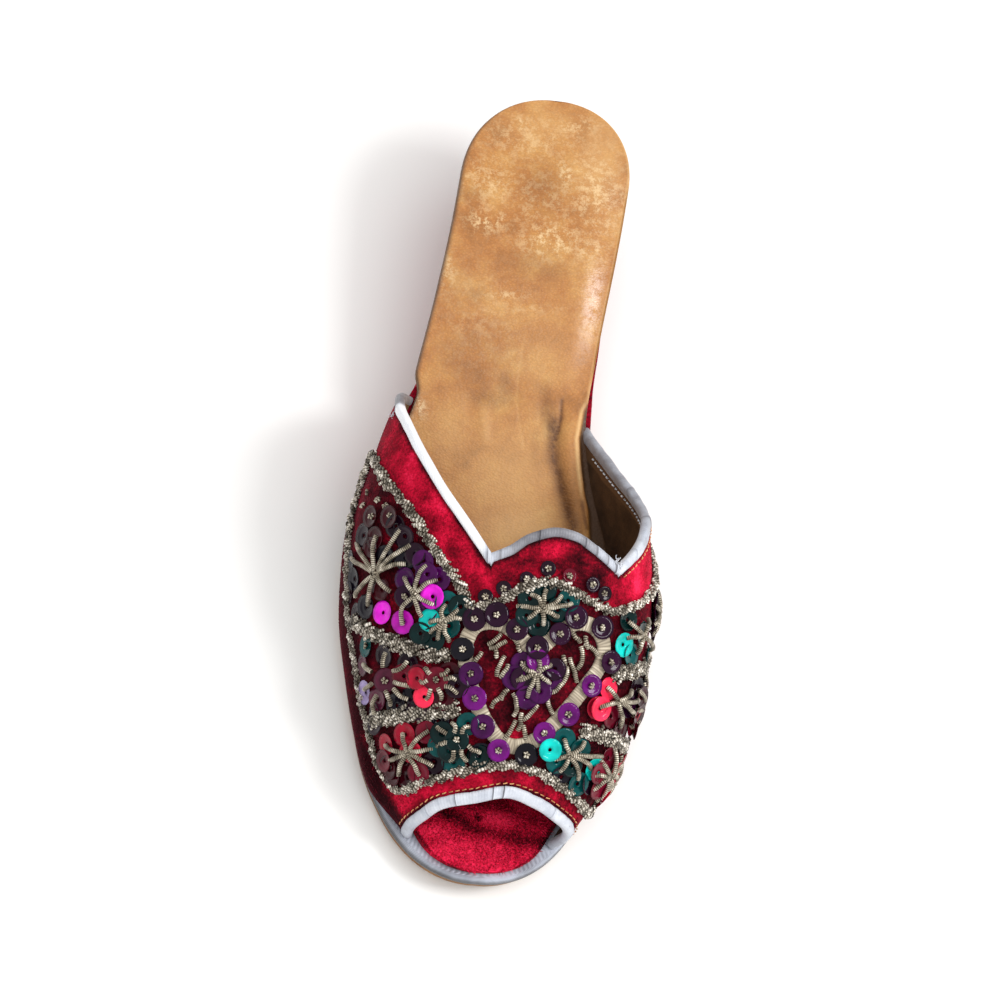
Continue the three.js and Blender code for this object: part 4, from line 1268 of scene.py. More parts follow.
def cup_shape():
    """One sequin, with its hole, its flat middle and its rim turned up."""
    turn = np.linspace(0, 2 * math.pi, SEQUIN_SIDES, endpoint=False)[:, None]
    radius = np.array(SEQUIN_CUP["radius"])
    rings = np.stack(np.broadcast_arrays(
        np.cos(turn) * radius, np.sin(turn) * radius, np.array(SEQUIN_CUP["height"])), -1)
    points, faces = loft(rings, closed=True)
    return shown("cup", plain_mesh("cup", points, faces=faces))


def angles_round(count):
    """Evenly spaced directions, turned by a random angle."""
    return np.linspace(0, 2 * math.pi, count, endpoint=False) + hidden_rng.uniform(0, 1)


def aside_of(across, station, angle, reach):
    """Across and station of what lies a reach away from a place on the upper, in a direction."""
    sideways, backward = upper_slopes(across, station)
    return (across + reach * math.cos(angle) / np.linalg.norm(sideways),
            station + reach * math.sin(angle) / np.linalg.norm(backward))


def nearest_sequin(spot):
    """Number of the sequin that lies nearest to an across and station."""
    return np.argmin(np.linalg.norm(sequin_base - upper_point(*spot), axis=1))


sequins = [(*seen_on_upper(pixel), name) for name, pixels in SMALL_SEQUINS.items() for pixel in pixels]
small_count = len(sequins)
sequins += [(*seen_on_upper(pixel), name) for name, pixels in SEQUINS.items() for pixel in pixels]
for across, station, name in HIDDEN_FLOWERS:
    for angle in angles_round(HIDDEN_SEQUINS):
        sequins.append((*aside_of(across, station, angle, HIDDEN_RING), name))
sequin_across = np.array([row[0] for row in sequins])
sequin_station = np.array([row[1] for row in sequins])
sequin_base = upper_point(sequin_across, sequin_station)
band_path = smooth_path(MEDALLION, pitch=1.0, closed=True)
band_points = upper_point(band_path[:, 0], band_path[:, 1])
sequin_lift = np.full(len(sequins), SEQUIN_LIFT)
for i, spot in enumerate(sequin_base):
    below = np.count_nonzero(np.linalg.norm(sequin_base[:i] - spot, axis=1) < SEQUIN_NEAR)
    on_band = np.min(np.linalg.norm(band_points - spot, axis=1)) < BAND["width"]
    sequin_lift[i] += (BAND["height"] if on_band else 0) + SEQUIN_STEP * min(below, MOST_BELOW)
for name in RAISED_MIDDLES:
    sequin_lift[nearest_sequin(seen_on_upper(FLOWERS[name][0]))] = RAISED_SEQUIN
tilt = rng.normal(0, SEQUIN_TILT, (len(sequins), 3))
sequin_facing = unit(upper_normal(sequin_across, sequin_station) + tilt)
sequin_tint = np.array([colour(SEQUIN_COLOURS[row[2]]) for row in sequins])
sequin_tint[:, :3] *= rng.uniform(*SEQUIN_TONES, (len(sequins), 1))
sequin_size = rng.uniform(*SEQUIN_SIZES, len(sequins))
sequin_size[:small_count] *= SMALL_SEQUIN_SIZE
source = points_mesh(
    on_upper(sequin_across, sequin_station, sequin_lift), sequin_facing,
    unit(rng.normal(0, 1, (len(sequins), 3))), tint=sequin_tint, size=sequin_size)
cup = cup_shape()
dress(grow("cup_sequins", source, SHAPE_TREE, sequin_plastic, Shape=cup, Slant=0.0, Shake=0.0), "metal_cord")
bpy.data.objects.remove(cup)

# Bullion flowers, twigs and knots of coil: lifts at the start, over the middle and at the end of a piece
PETAL_LIFTS = (1.7, 3.2, 0.9)
RIM_PETAL_LIFTS = (2.7, 3.0, 1.5)
TWIG_LIFTS = (0.6, 1.5, 0.6)
# Share of the way from the flower's middle to the tip at which a petal starts
PETAL_START = 0.1
RIM_PETAL_START = 0.46
PETAL_POINTS = 9
PETAL_BOW = 0.45
PETAL_KINK = 0.16
PETAL_COIL = {"Wire_radius": 0.72 * MM, "Pitch": 0.54 * MM, "Groove": 0.15}
KNOT = {"radius": 0.62, "raised": 0.35, "turn": 2 * math.pi * 0.92, "points": 9}
KNOT_COIL = {"Wire_radius": 0.5 * MM, "Pitch": 0.7 * MM, "Groove": 0.34}
# How far the knots are above the velvet, a sequin and a flower's middle
VELVET_KNOT_LIFT = 0.6
SEQUIN_KNOT_LIFT = 0.55
FLOWER_KNOT_LIFT = 2.3


def bullion(start, end, lifts):
    """Line of a piece of coil on the upper from one place to another, arched over what lies below."""
    u = np.linspace(0, 1, PETAL_POINTS)
    across = start[0] + (end[0] - start[0]) * u
    station = start[1] + (end[1] - start[1]) * u
    low, top, last = lifts
    points = on_upper(across, station, low * (1 - u) ** 2 + 2 * top * u * (1 - u) + last * u ** 2)
    bow = np.sin(math.pi * u) * rng.normal(0, PETAL_BOW)
    bow += np.sin(3 * math.pi * u + rng.uniform(0, 6)) * rng.uniform(0, PETAL_KINK)
    aside = unit(np.cross(upper_normal(across, station), points[-1] - points[0]))
    return points + aside * bow[:, None]


def knot(spot, lift):
    """A small loop of coil, closed on itself and a little raised at one side."""
    facing = upper_normal(*spot)
    side = unit(np.cross(facing, rng.normal(0, 1, 3)))
    other = np.cross(facing, side)
    turn = np.linspace(0, KNOT["turn"], KNOT["points"])[:, None]
    loop = KNOT["radius"] * (np.cos(turn) * side + np.sin(turn) * other)
    return on_upper(*spot, lift) + loop + facing * KNOT["raised"] * np.sin(turn)


petals = []
for name, (middle, tips) in FLOWERS.items():
    heart = np.array(seen_on_upper(middle))
    on_rim = name in RAISED_MIDDLES
    begin = RIM_PETAL_START if on_rim else PETAL_START
    for tip in tips:
        end = np.array(seen_on_upper(tip))
        petals.append(bullion(heart + (end - heart) * begin, end, RIM_PETAL_LIFTS if on_rim else PETAL_LIFTS))
for across, station, _ in HIDDEN_FLOWERS:
    for angle in angles_round(HIDDEN_PETALS):
        reach = HIDDEN_PETAL * hidden_rng.uniform(*HIDDEN_PETAL_SIZES)
        petals.append(bullion((across, station), aside_of(across, station, angle, reach), PETAL_LIFTS))
for x0, y0, x1, y1 in TWIGS:
    petals.append(bullion(seen_on_upper((x0, y0)), seen_on_upper((x1, y1)), TWIG_LIFTS))
dress(grow("bullion_petals", lines_mesh(petals), COIL_TREE, petal_wire, **PETAL_COIL), "metal_cord")

knot_places = [(seen_on_upper(pixel), VELVET_KNOT_LIFT) for pixel in VELVET_KNOTS]
for pixel in SEQUIN_KNOTS:
    spot = seen_on_upper(pixel)
    knot_places.append((spot, sequin_lift[nearest_sequin(spot)] + SEQUIN_KNOT_LIFT))
for name, (middle, _) in FLOWERS.items():
    if name not in RAISED_MIDDLES:
        knot_places.append((seen_on_upper(middle), FLOWER_KNOT_LIFT))
knot_places += [((across, station), FLOWER_KNOT_LIFT) for across, station, _ in HIDDEN_FLOWERS]
knots = [knot(spot, lift) for spot, lift in knot_places]
dress(grow("coil_knots", lines_mesh(knots), COIL_TREE, petal_wire, **KNOT_COIL), "metal_cord")

# Stitches along the bindings: the thread, and how far the rows are from the ribbons
GUIDE_POINTS = 500
GUIDE_STEP = 10
STITCH_SPACING = 1.9
STITCH_LIFT = 0.25
STITCH = {
    "Pitch": 0.5 * MM, "Groove": 0.1, "Stitch_length": 1.1 * MM, "Arch": 0.45 * MM, "Slant": 0.12,
    "Shake": 0.15}
GOLD_RADIUS = 0.17
GREY_RADIUS = 0.24
TOE_ROW = 0.7
THROAT_ROW = 0.8
LINING_ROW = 1.5
TOE_ROW_SPAN = (-0.9, 0.9)
THROAT_ROW_SPAN = (MEDIAL_NOTCH + 0.03, 0.95)
# Ends of thread that have come loose where the ribbons meet: pixel and how many
FRAYS = ((465, 551, 9), (468, 557, 6), (243, 405, 8))
FRAY = {"lift": 0.5, "scatter": 0.4, "outward": 0.4, "length": (0.8, 1.7), "bend": 0.6, "points": 5}
FRAY_COIL = {"Wire_radius": 0.12 * MM, "Pitch": 0.8 * MM, "Groove": 0.0}


def stitch_line(edge, sense, inset, limits, lift, outward=1):
    """Places, outward directions and directions along a row of stitches beside an edge."""
    across = np.linspace(*limits, GUIDE_POINTS)[::GUIDE_STEP]
    station = edge(across) + sense * depth_from_edge(edge, across, inset)
    path = smooth_path(np.stack((across, station), -1), STITCH_SPACING, False)
    points, facing, along = path_frame(path, False)
    return points + facing * lift, facing * outward, along


toe_stitches = stitch_line(toe_edge, 1, TOE_BINDING["width"] + TOE_ROW, TOE_ROW_SPAN, STITCH_LIFT)
throat_stitches = stitch_line(
    throat_edge, -1, THROAT_BINDING["width"] + THROAT_ROW, THROAT_ROW_SPAN, STITCH_LIFT)
source = points_mesh(*(np.concatenate(pair) for pair in zip(toe_stitches, throat_stitches)))
dress(grow(
    "binding_stitches", source, STITCH_TREE, gold_thread, **STITCH,
    Wire_radius=GOLD_RADIUS * MM), "satin_binding")
inner_stitches = stitch_line(
    throat_edge, -1, THROAT_BINDING["width"] + LINING_ROW, THROAT_ROW_SPAN, -WALL - STITCH_LIFT, -1)
dress(grow(
    "lining_stitches", points_mesh(*inner_stitches), STITCH_TREE, grey_thread, **STITCH,
    Wire_radius=GREY_RADIUS * MM), "satin_binding")

frayed = []
for x, y, count in FRAYS:
    spot = seen_on_upper((x, y))
    facing = upper_normal(*spot)
    for _ in range(count):
        begin = on_upper(*spot, FRAY["lift"]) + rng.normal(0, FRAY["scatter"], 3)
        reach = unit(rng.normal(0, 1, 3) + facing * FRAY["outward"]) * rng.uniform(*FRAY["length"])
        u = np.linspace(0, 1, FRAY["points"])[:, None]
        frayed.append(begin + reach * u + rng.normal(0, FRAY["bend"], 3) * u * (1 - u))
dress(grow("frayed_threads", lines_mesh(frayed), COIL_TREE, grey_thread, **FRAY_COIL), "satin_binding")

# Bent plates of the sole; a rounded outline stops this short of its tip
TIP_MARGIN = 0.06


def spread(start, end, count, round_start, round_end):
    """Stations from one place to another, closer together towards a rounded end."""
    u = np.linspace(0, 1, count + 1)
    if round_start and round_end:
        u = (1 - np.cos(u * math.pi)) / 2
    elif round_start:
        u = 1 - np.cos(u * math.pi / 2)
    elif round_end:
        u = np.sin(u * math.pi / 2)
    return start + (end - start) * u


def drawn_in(stations, toe_inset, heel_inset):
    """Stations drawn in from the tips of the toe and the heel."""
    near_toe = np.maximum(1 - stations / END_REACH, 0)
    near_heel = np.maximum(1 - (LENGTH - stations) / END_REACH, 0)
    return stations + toe_inset * near_toe - heel_inset * near_heel


def layer_edges(stations, height, inset, toe_inset=0.0, heel_inset=0.0, shift=None):
    """Lateral and medial edge points of one layer of a plate."""
    kept = drawn_in(stations, toe_inset, heel_inset)
    half = (plan_half(kept) - inset(kept)) * rounded(kept, toe_inset, heel_inset)
    middle = plan_centre(kept) + (shift(kept) if shift else 0)
    z = height(stations, kept)
    return place(middle - half, kept, z), place(middle + half, kept, z)


def plate(stations, layers):
    """Rings through the layers of a plate, up its lateral side and down its medial one."""
    edges = [layer_edges(stations, **layer) for layer in layers]
    lateral = [low for low, _ in edges]
    medial = [high for _, high in reversed(edges)]
    return np.stack((*lateral, *medial), 1)


def heel_tuck(at):
    """How far the wedge and the outsole are drawn in below the heel."""
    return smoothstep(at, *TUCK_START) * HEEL_TUCK


# The outsole's edge, as height above the underside and how far it is drawn in there
TUCK_START = (PLATFORM_END, 165)
OUTSOLE_EDGE = ((0, 0.5), (0.15, 0.15), (0.5, 0), (OUTSOLE_THICKNESS, 0))
OUTSOLE_ROWS = 120
OUTSOLE_INSET = 0.9
OUTSOLE_TUCK = 0.93
OUTSOLE_HEEL = HEEL_TUCK + 0.6


def outsole_layer(up, extra):
    """One layer of the outsole's edge."""
    return {
        "height": lambda _, at: underside(at) + up,
        "inset": lambda at: OUTSOLE_INSET + heel_tuck(at) * OUTSOLE_TUCK + extra,
        "toe_inset": OUTSOLE_INSET + extra, "heel_inset": OUTSOLE_HEEL + extra}


outsole_rings = plate(
    spread(TIP_MARGIN, LENGTH - TIP_MARGIN, OUTSOLE_ROWS, True, True),
    [outsole_layer(*row) for row in OUTSOLE_EDGE])
dress(make_piece("outsole_leather", *loft(outsole_rings), sole_leather, sharp=35), "sole_leather", "outsole")

# The platform's tape goes round a half-round edge; it is painted darker below and lighter at the top, a
# painted shade and light, darkest on the lateral side
PLATFORM_ROWS = 110
PLATFORM_LAYERS = 11
PLATFORM_ROUND = 1.5
TAPE_STEP = 1.4
TAPE_SHADING = {"layer": (0, 5, 6.5, 8, 10), "value": (0.5, 0.5, 0.2, -0.12, -0.15)}
LATERAL_TAPE_SHADE = 0.12


def platform_layer(turn):
    """One layer of the platform's half-round edge, at an angle from straight down to straight up."""
    share = (1 + math.sin(turn)) / 2
    inset = PLATFORM_ROUND * (1 - math.cos(turn))

    def height(_, at):
        """Height of the layer at some stations."""
        bottom = outsole_top(at) + GAP
        return bottom + share * (platform_top(at) - bottom)

    return {"height": height, "inset": lambda at: inset, "toe_inset": inset}


def edge_uv(rings):
    """Length round the toe from lateral to medial, and length up the edge."""
    half = rings.shape[1] // 2
    step = np.linalg.norm(np.diff(rings[:, half // 2], axis=0), axis=1)
    run = np.concatenate(([0], np.cumsum(step)))
    u = np.where(np.arange(2 * half) < half, -1, 1) * run[:, None]
    up = np.concatenate((np.arange(half), np.arange(half)[::-1])) * TAPE_STEP
    return np.stack(np.broadcast_arrays(u, up), -1).reshape(-1, 2) * MM


platform_rings = plate(
    spread(TIP_MARGIN, PLATFORM_END, PLATFORM_ROWS, True, False),
    [platform_layer(turn) for turn in np.linspace(-math.pi / 2, math.pi / 2, PLATFORM_LAYERS)])
tape_shading = np.interp(np.arange(PLATFORM_LAYERS), TAPE_SHADING["layer"], TAPE_SHADING["value"])
tape_shading = np.tile(np.concatenate((tape_shading + LATERAL_TAPE_SHADE, tape_shading[::-1])), len(platform_rings))
dress(make_piece(
    "platform_tape", *loft(platform_rings), platform_twill, uv=edge_uv(platform_rings), sharp=60,
    worn=tape_shading), "silver_cloth", "platform")

# The wedge: its rim stays behind the upper and the insole, and it reaches out at the medial waist
WEDGE_RIM = {"under_upper": 0.7, "under_insole": 0.9, "begin": (140, 152)}
WEDGE_WAIST = {"reach": 1.3, "begin": (138, 150), "end": (160, 182)}
WEDGE_STEP = PLATFORM_END + GAP
WEDGE_STEP_WIDTH = 0.05
WEDGE_FRONT_ROWS = 20
WEDGE_ROWS = 110
WEDGE_SHARES = np.linspace(0, 0.9, 10)
WEDGE_TUCKS = np.interp(WEDGE_SHARES, (0, 0.45, 0.9), (1, 0.62, 0.08))
WEDGE_HEEL = 0.8
# The rounded rim below the insole, as share of the height, tuck, inset at the heel and extra inset
WEDGE_TOP = ((0.97, 0.02, 1.2, 0.15), (1.0, 0.0, 1.6, 0.6))
WEDGE_NAP = 0.42
WEDGE_LIE = (0.0, -0.3, -1.0)


def wedge_rim(at):
    """How far the wedge's upper rim lies within the sole's outline."""
    under_upper = np.maximum(upper_inset(at) - WEDGE_RIM["under_upper"], 0)
    return under_upper + WEDGE_RIM["under_insole"] * smoothstep(at, *WEDGE_RIM["begin"])


def wedge_shift(at):
    """How far the wedge is moved to the medial side."""
    waist = smoothstep(at, *WEDGE_WAIST["begin"]) - smoothstep(at, *WEDGE_WAIST["end"])
    return WEDGE_WAIST["reach"] * waist


def wedge_layer(share, tuck, heel_inset, extra=0.0):
    """One layer of the wedge, at a share of its height above the platform or the outsole."""
    def height(stations, at):
        """Height of the layer at some stations, with a step behind the platform."""
        foot = np.where(stations > WEDGE_STEP, outsole_top(at), platform_top(at)) + GAP
        return foot + (deck(at) - foot) * share

    return {"height": height, "inset": lambda at: wedge_rim(at) + extra + tuck * heel_tuck(at),
            "heel_inset": heel_inset, "shift": wedge_shift}


wedge_stations = np.concatenate((
    spread(WEDGE_FRONT, WEDGE_STEP, WEDGE_FRONT_ROWS, False, False),
    spread(WEDGE_STEP + WEDGE_STEP_WIDTH, LENGTH - TIP_MARGIN, WEDGE_ROWS, False, True)))
wedge_layers = [
    wedge_layer(share, tuck, HEEL_TUCK * tuck + WEDGE_HEEL) for share, tuck in zip(WEDGE_SHARES, WEDGE_TUCKS)]
wedge_layers += [wedge_layer(*row) for row in WEDGE_TOP]
wedge_points, wedge_faces = loft(plate(wedge_stations, wedge_layers))
wedge_values = {
    "nap_and_shading": np.full(len(wedge_points), WEDGE_NAP), "lie": np.tile(WEDGE_LIE, (len(wedge_points), 1))}
dress(make_piece(
    "wedge_velvet", wedge_points, wedge_faces, velvet_stretched, sharp=40, **wedge_values), "velvet", "wedge")

# Layers that lie on the deck: the leather insole and the velvet sock at the toe
CUT_EDGE = 0.8
EDGE_SHARE = 0.006


def deck_layer(stations, toe_inset, heel_inset, relief, columns, widen=None):
    """Rings of a layer on the deck, with an edge at both sides and a shaped top."""
    kept = drawn_in(stations, toe_inset, heel_inset)
    half = (plan_half(kept) - insole_inset(kept)) * rounded(kept, toe_inset, heel_inset)
    left = plan_centre(kept) - half
    right = plan_centre(kept) + half + (widen(kept) if widen else 0)
    bottom = deck(kept) + GAP
    share = np.linspace(EDGE_SHARE, 1 - EDGE_SHARE, columns)
    x = left[:, None] + (right - left)[:, None] * share
    station = np.broadcast_to(kept[:, None], x.shape)
    flat = place(x, station, (bottom + INSOLE_THICKNESS)[:, None])
    rise_by = relief(np.broadcast_to(2 * share - 1, x.shape), station, photo_of(flat))
    top = flat + np.array([0, 0, 1]) * rise_by[..., None]
    lateral = [place(left, kept, bottom), place(left, kept, bottom + CUT_EDGE)]
    medial = [place(right, kept, bottom + CUT_EDGE), place(right, kept, bottom)]
    return np.stack((*lateral, *np.moveaxis(top, 1, 0), *medial), 1)


def near_line(pixels, line, width, strength):
    """How near pixels lie to a line of pixels: the strength on the line, fading over the width."""
    best = np.full(pixels.shape[:-1], np.inf)
    for start, end in zip(line, line[1:]):
        along = np.subtract(end, start)
        u = np.clip((pixels - start) @ along / (along @ along), 0, 1)
        best = np.minimum(best, np.linalg.norm(pixels - start - u[..., None] * along, axis=-1))
    return strength * np.exp(-(best / width) ** 2)


def near_lines(pixels, lines):
    """How near pixels lie to any of several lines, added up."""
    return sum(near_line(pixels, *line) for line in lines)


def patched(pixels, patches):
    """Strength of soft patches at pixels."""
    strength = np.zeros(len(pixels))
    for x, y, reach_x, reach_y, amount in patches:
        away = ((pixels[:, 0] - x) / reach_x) ** 2 + ((pixels[:, 1] - y) / reach_y) ** 2
        strength = np.maximum(strength, amount * np.exp(-away))
    return strength


# The insole's own form: dished below the heel, with its medial edge rolled down at the shank
INSOLE_ROWS = 280
INSOLE_COLUMNS = 130
INSOLE_HEEL = 0.4
DISH = {"depth": 0.4, "begin": (130, 190)}
ROLLED_EDGE = {"depth": 1.3, "across": (0.62, 1.0), "begin": (146, 162), "end": (205, 222)}
# Creases of the insole: lines of pixels, width in pixels and height in millimetres, below zero for a trough
INSOLE_CREASES = (
    (((373, 336), (367, 371), (366, 394), (369, 417), (373, 436)), 2.0, -0.05),
    (((333, 402), (334, 428)), 6.0, 0.24), (((322, 393), (342, 396), (360, 388)), 10.0, -0.4),
    (((411, 394), (410, 410), (406, 430)), 2.2, -0.2), (((393, 388), (391, 412)), 6.0, -0.22),
)
# Folds of the insole painted dark, a painted shade on their flanks: lines of pixels, width and strength
INSOLE_FOLD_SHADE = (
    (((411, 392), (410, 412), (405, 430)), 1.8, 0.75), (((393, 380), (394, 402)), 8.0, 0.3),
    (((402, 415), (402, 445), (408, 468), (414, 490), (420, 512), (425, 532)), 7.0, 0.9),
    (((326, 389), (345, 394), (358, 390)), 8.0, 0.2), (((431, 494), (436, 520)), 2.0, 0.7),
    (((385, 425), (384, 455)), 5.0, 0.18), (((300, 352), (326, 372)), 12.0, 0.15),
)
# Fine creases of the insole that look pale, and a soft ridge painted pale with a painted highlight
INSOLE_PALE = (
    (((373, 330), (367, 371), (366, 394), (369, 417), (373, 440)), 1.3, 0.16),
    (((333, 400), (335, 430)), 5.0, 0.16), (((396, 400), (394, 430)), 3.0, 0.14),
)
# The insole's medial edge curls up from the lining: its line and its height, in pixels and millimetres
CURL = {
    "y": (366, 384, 402, 430, 460, 485, 503, 525, 545),
    "x": (446, 439, 431, 426, 428, 431, 435, 436, 437),
    "height": (0, 0, 0.5, 1.7, 2.3, 2.4, 2.2, 1.6, 1.0),
}
# Pixels to either side of the curl's line over which it rises and falls
CURL_RISE = (-24, -9)
CURL_FALL = (0, 4)
# Beyond the curl's line the leather is painted dark, a painted shadow in the lining's colour; on the line it
# has a pale edge, a painted highlight, down to a row of the photo
CURL_BEGIN = (384, 408)
CURL_DARK = (1, 4)
DARK_BEYOND = 0.97
LEAST_DARK = 0.1
CURL_PALE = {"strength": 0.8, "at": -0.5, "width": 1.8, "end": (470, 500)}
# The leather reaches past its solid at the medial waist, where it turns up against the lining
MEDIAL_INSET = {
    "station": (0, 70, 88, 120, 140, 150, 160, 175, 240),
    "inset": (7, 5, 2.8, 2.4, 1.9, 1.1, 0.6, 0.5, 0.4),
}
# Marks on the insole: pixel, reach and strength; one scuff at the lateral waist is a painted glare, and one
# patch of grime is painted shade in a shallow dent
SCUFFS_AND_GLARE = (
    (400, 232, 30, 18, 1.0), (415, 165, 9, 18, 0.9), (336, 212, 20, 12, 0.9), (355, 286, 24, 4, 0.6),
    (446, 185, 28, 44, 0.75), (371, 115, 9, 8, 0.8), (425, 118, 24, 10, 0.6), (395, 190, 50, 40, 0.4),
    (338, 172, 30, 26, 0.6), (296, 262, 9, 24, 0.6), (380, 130, 60, 24, 0.45), (330, 310, 40, 60, 0.2),
    (440, 240, 24, 12, 0.6), (385, 300, 30, 4, 0.35), (267, 398, 8, 11, 1.0),
)
GRIME_AND_SHADE = (
    (354, 373, 9, 14, 0.42), (338, 386, 24, 12, 0.2), (318, 335, 34, 18, 0.2), (400, 402, 12, 16, 0.25),
    (325, 285, 12, 10, 0.3), (392, 178, 22, 22, 0.3), (322, 330, 10, 10, 0.3), (375, 255, 34, 16, 0.25),
    (318, 185, 14, 8, 0.3), (398, 262, 20, 12, 0.3), (340, 345, 45, 40, 0.16), (308, 282, 30, 40, 0.14),
)
GLOSS = (
    (444, 285, 18, 52, 1.0), (460, 196, 10, 24, 0.9), (267, 398, 9, 12, 1.0), (350, 330, 70, 60, 0.25),
)
LEAST_GLOSS = 0.1
FADED = (
    (360, 470, 60, 60, 0.35), (395, 345, 40, 40, 0.15), (300, 430, 30, 40, 0.25), (450, 150, 26, 50, 0.35),
    (400, 120, 60, 20, 0.2), (370, 520, 50, 30, 0.5),
)
# Tone of the insole's edges by columns: dark at the lateral side, pale at the medial one
LATERAL_RIM = (0.8, 0.8, 0.8, 0.45, 0.2)
MEDIAL_WORN = (0.2, 0.4, 0.4, 0.0)
medial_inset = monotone(MEDIAL_INSET, "station", "inset")


def past_curl(pixels):
    """How far pixels lie beyond the line of the curled edge."""
    return pixels[..., 0] - np.interp(pixels[..., 1], CURL["y"], CURL["x"])


def insole_relief(across, station, pixels):
    """Height of the insole's top above a flat one."""
    dish = -DISH["depth"] * (1 - across ** 2) * smoothstep(station, *DISH["begin"])
    shank = smoothstep(station, *ROLLED_EDGE["begin"]) - smoothstep(station, *ROLLED_EDGE["end"])
    rolled = -ROLLED_EDGE["depth"] * smoothstep(across, *ROLLED_EDGE["across"]) * shank
    past = past_curl(pixels)
    curl = np.interp(pixels[..., 1], CURL["y"], CURL["height"])
    raised = curl * smoothstep(past, *CURL_RISE) * (1 - smoothstep(past, *CURL_FALL))
    return dish + rolled + raised + near_lines(pixels, INSOLE_CREASES)


def insole_widen(station):
    """How far the leather reaches past the solid on the medial side."""
    return np.maximum(insole_inset(station) - medial_inset(station), 0)


insole_rings = deck_layer(
    spread(TOE_SOCK_END, LENGTH - TIP_MARGIN, INSOLE_ROWS, False, True), 0, INSOLE_HEEL, insole_relief,
    INSOLE_COLUMNS, insole_widen)
insole_points, insole_faces = loft(insole_rings)
insole_pixels = photo_of(insole_points)
rim = np.zeros(insole_rings.shape[:2])
rim[:, :len(LATERAL_RIM)] = LATERAL_RIM
worn = np.zeros(insole_rings.shape[:2])
worn[:, -len(MEDIAL_WORN):] = MEDIAL_WORN
past = past_curl(insole_pixels)
at_curl = smoothstep(insole_pixels[:, 1], *CURL_BEGIN)
past_edge = smoothstep(past, *CURL_DARK) * at_curl
curl_edge = CURL_PALE["strength"] * np.exp(-((past - CURL_PALE["at"]) / CURL_PALE["width"]) ** 2) * at_curl
curl_edge *= 1 - smoothstep(insole_pixels[:, 1], *CURL_PALE["end"])
faded = patched(insole_pixels, FADED) + near_lines(insole_pixels, INSOLE_PALE)
grime_and_shade = patched(insole_pixels, GRIME_AND_SHADE) + near_lines(insole_pixels, INSOLE_FOLD_SHADE)
insole_values = {
    "scuff_and_glare": patched(insole_pixels, SCUFFS_AND_GLARE),
    "grime_and_shade": np.minimum(grime_and_shade, 1.0),
    "gloss": LEAST_GLOSS + (1 - LEAST_GLOSS) * patched(insole_pixels, GLOSS),
    "rim": np.maximum(rim.ravel(), DARK_BEYOND * past_edge),
    "worn": np.minimum(np.maximum(worn.ravel() * (past_edge < LEAST_DARK), curl_edge) + faded, 1.0),
}
dress(make_piece(
    "insole_leather", insole_points, insole_faces, insole_leather, sharp=60, **insole_values),
    "sock_leather", "insole")

# The sock at the toe: its ridge, fold and small hole as lines of pixels, width and height; patches of painted
# light, and painted shade along the fold and in the hole
SOCK_RIDGE = ((310, 800), (345, 806), (385, 820))
SOCK_FOLD = ((294, 803), (325, 818), (360, 830), (394, 832))
SOCK_HOLE = ((326, 807), (328, 809))
SOCK_RELIEF = ((SOCK_RIDGE, 9, 1.2), (SOCK_FOLD, 8, -0.7), (SOCK_HOLE, 2.6, -1.2))
SOCK_SHADE = ((SOCK_FOLD, 7, 0.4), (SOCK_HOLE, 2.2, 1.4))
SOCK_LIT = (
    (295, 845, 60, 22, 0.45), (345, 852, 60, 20, 0.4), (342, 811, 26, 10, 0.4), (285, 822, 30, 12, 0.4),
)
SOCK_RIPPLE = {"height": 0.15, "per_station": 0.9, "per_across": 7}
SOCK_ROWS = 80
SOCK_COLUMNS = 90
SOCK_INSET = 2.7
SOCK_NAP = 0.6
# Painted shadow along the sock's front and its sides
SOCK_EDGE_SHADE = 0.4
SOCK_EDGE_ROWS = 3
SOCK_EDGE_COLUMNS = 5
SOCK_LIE = (0.2, -1.0, 0.1)
SOCK_PILE = {
    "Density": 5.0 / MM ** 2, "Pile_length": 1.6 * MM, "Fibre_radius": 0.14 * MM, "Lean": 0.9, "Shake": 0.8}


def sock_relief(across, station, pixels):
    """Height of the sock's top above a flat one."""
    ripple = np.sin(station * SOCK_RIPPLE["per_station"] + across * SOCK_RIPPLE["per_across"])
    return near_lines(pixels, SOCK_RELIEF) + SOCK_RIPPLE["height"] * ripple


sock_rings = deck_layer(
    spread(TIP_MARGIN, TOE_SOCK_END - GAP, SOCK_ROWS, True, False), SOCK_INSET, 0, sock_relief, SOCK_COLUMNS)
sock_points, sock_faces = loft(sock_rings)
sock_pixels = photo_of(sock_points)
sock_edge_shade = np.zeros(sock_rings.shape[:2])
sock_edge_shade[:SOCK_EDGE_ROWS] = SOCK_EDGE_SHADE
sock_edge_shade[:, :SOCK_EDGE_COLUMNS] = SOCK_EDGE_SHADE
sock_edge_shade[:, -SOCK_EDGE_COLUMNS:] = SOCK_EDGE_SHADE
sock_light_and_shade = patched(sock_pixels, SOCK_LIT) - near_lines(sock_pixels, SOCK_SHADE)
sock_values = {
    "nap_and_shading": SOCK_NAP + sock_light_and_shade - sock_edge_shade.ravel(), "lie": np.tile(SOCK_LIE, (len(sock_points), 1))}
sock = make_piece("toe_sock_velvet", sock_points, sock_faces, velvet_cloth, **sock_values)
dress(sock, "velvet", "toe_sock")
sock_face = pile_face("sock_face", sock_rings, slice(2, -2), **sock_values)
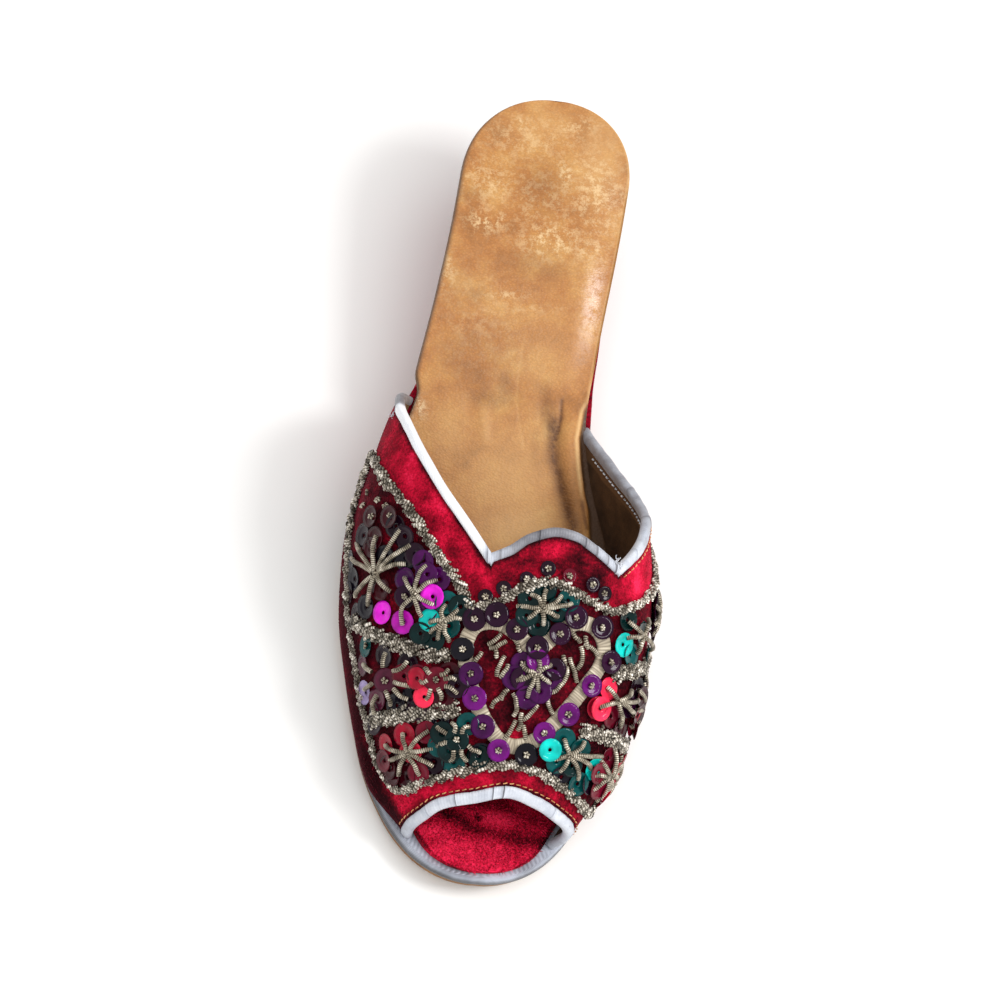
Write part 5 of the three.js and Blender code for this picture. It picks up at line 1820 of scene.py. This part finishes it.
dress(grow("toe_sock_pile", sock_face, PILE_TREE, velvet_pile, **SOCK_PILE), "velvet")

# Floor, light and camera; lights are in metres and watts
FLOOR_REACH = 4.0
LIGHTS = (
    {"name": "window", "direction": (0.62, -0.06, 0.78), "distance": 1.3, "size": 0.42, "watts": 7.5,
     "mirrored": True},
    {"name": "ceiling", "direction": (0.05, -0.25, 1.0), "distance": 1.7, "size": 3.0, "watts": 30,
     "mirrored": False},
)
LIT_HEIGHT = 0.03
ROOM_LIGHT = 0.56

corners = np.array([(-1, -1, 0), (1, -1, 0), (1, 1, 0), (-1, 1, 0)]) * FLOOR_REACH / MM
floor_mesh = plain_mesh("floor", corners, faces=[(0, 1, 2, 3)])
# White paper, matt and even, so that only the shoe's own shadow shows on it
floor_paper = new_material("floor_paper_white", Base_Color=colour("#F6F5F3"), Roughness=0.9)[0]
floor_mesh.materials.append(floor_paper)
shown("floor", floor_mesh)


def soft_box(name, direction, distance, size, watts, mirrored):
    """A square soft light that looks at the shoe; one that isn't mirrored lights without a highlight."""
    light = bpy.data.lights.new(name, "AREA")
    light.size = size
    light.energy = watts
    lamp = shown(name, light)
    lamp.visible_glossy = mirrored
    lamp.location = unit(np.array(direction, float)) * distance + (0, 0, LIT_HEIGHT)
    lamp.rotation_euler = lamp.location.to_track_quat("Z", "Y").to_euler()


for light in LIGHTS:
    soft_box(**light)
world = bpy.data.worlds.new("studio")
world.use_nodes = True
wire(world.node_tree.nodes["Background"], {"Color": (1, 1, 1, 1), "Strength": ROOM_LIGHT})
bpy.context.scene.world = world
bpy.context.scene.view_settings.view_transform = "Standard"

camera_data = bpy.data.cameras.new("camera")
camera_data.sensor_width = SENSOR_MM
camera_data.lens = CAMERA["focal_px"] / IMAGE_PX * SENSOR_MM
camera = shown("camera", camera_data)
basis = np.eye(4)
basis[:3, 0] = camera_right
basis[:3, 1] = camera_up
basis[:3, 2] = camera_back
basis[:3, 3] = (camera_target + camera_back * CAMERA["distance"]) * MM
camera.matrix_world = basis.T
bpy.context.scene.camera = camera

bpy.context.view_layer.update()
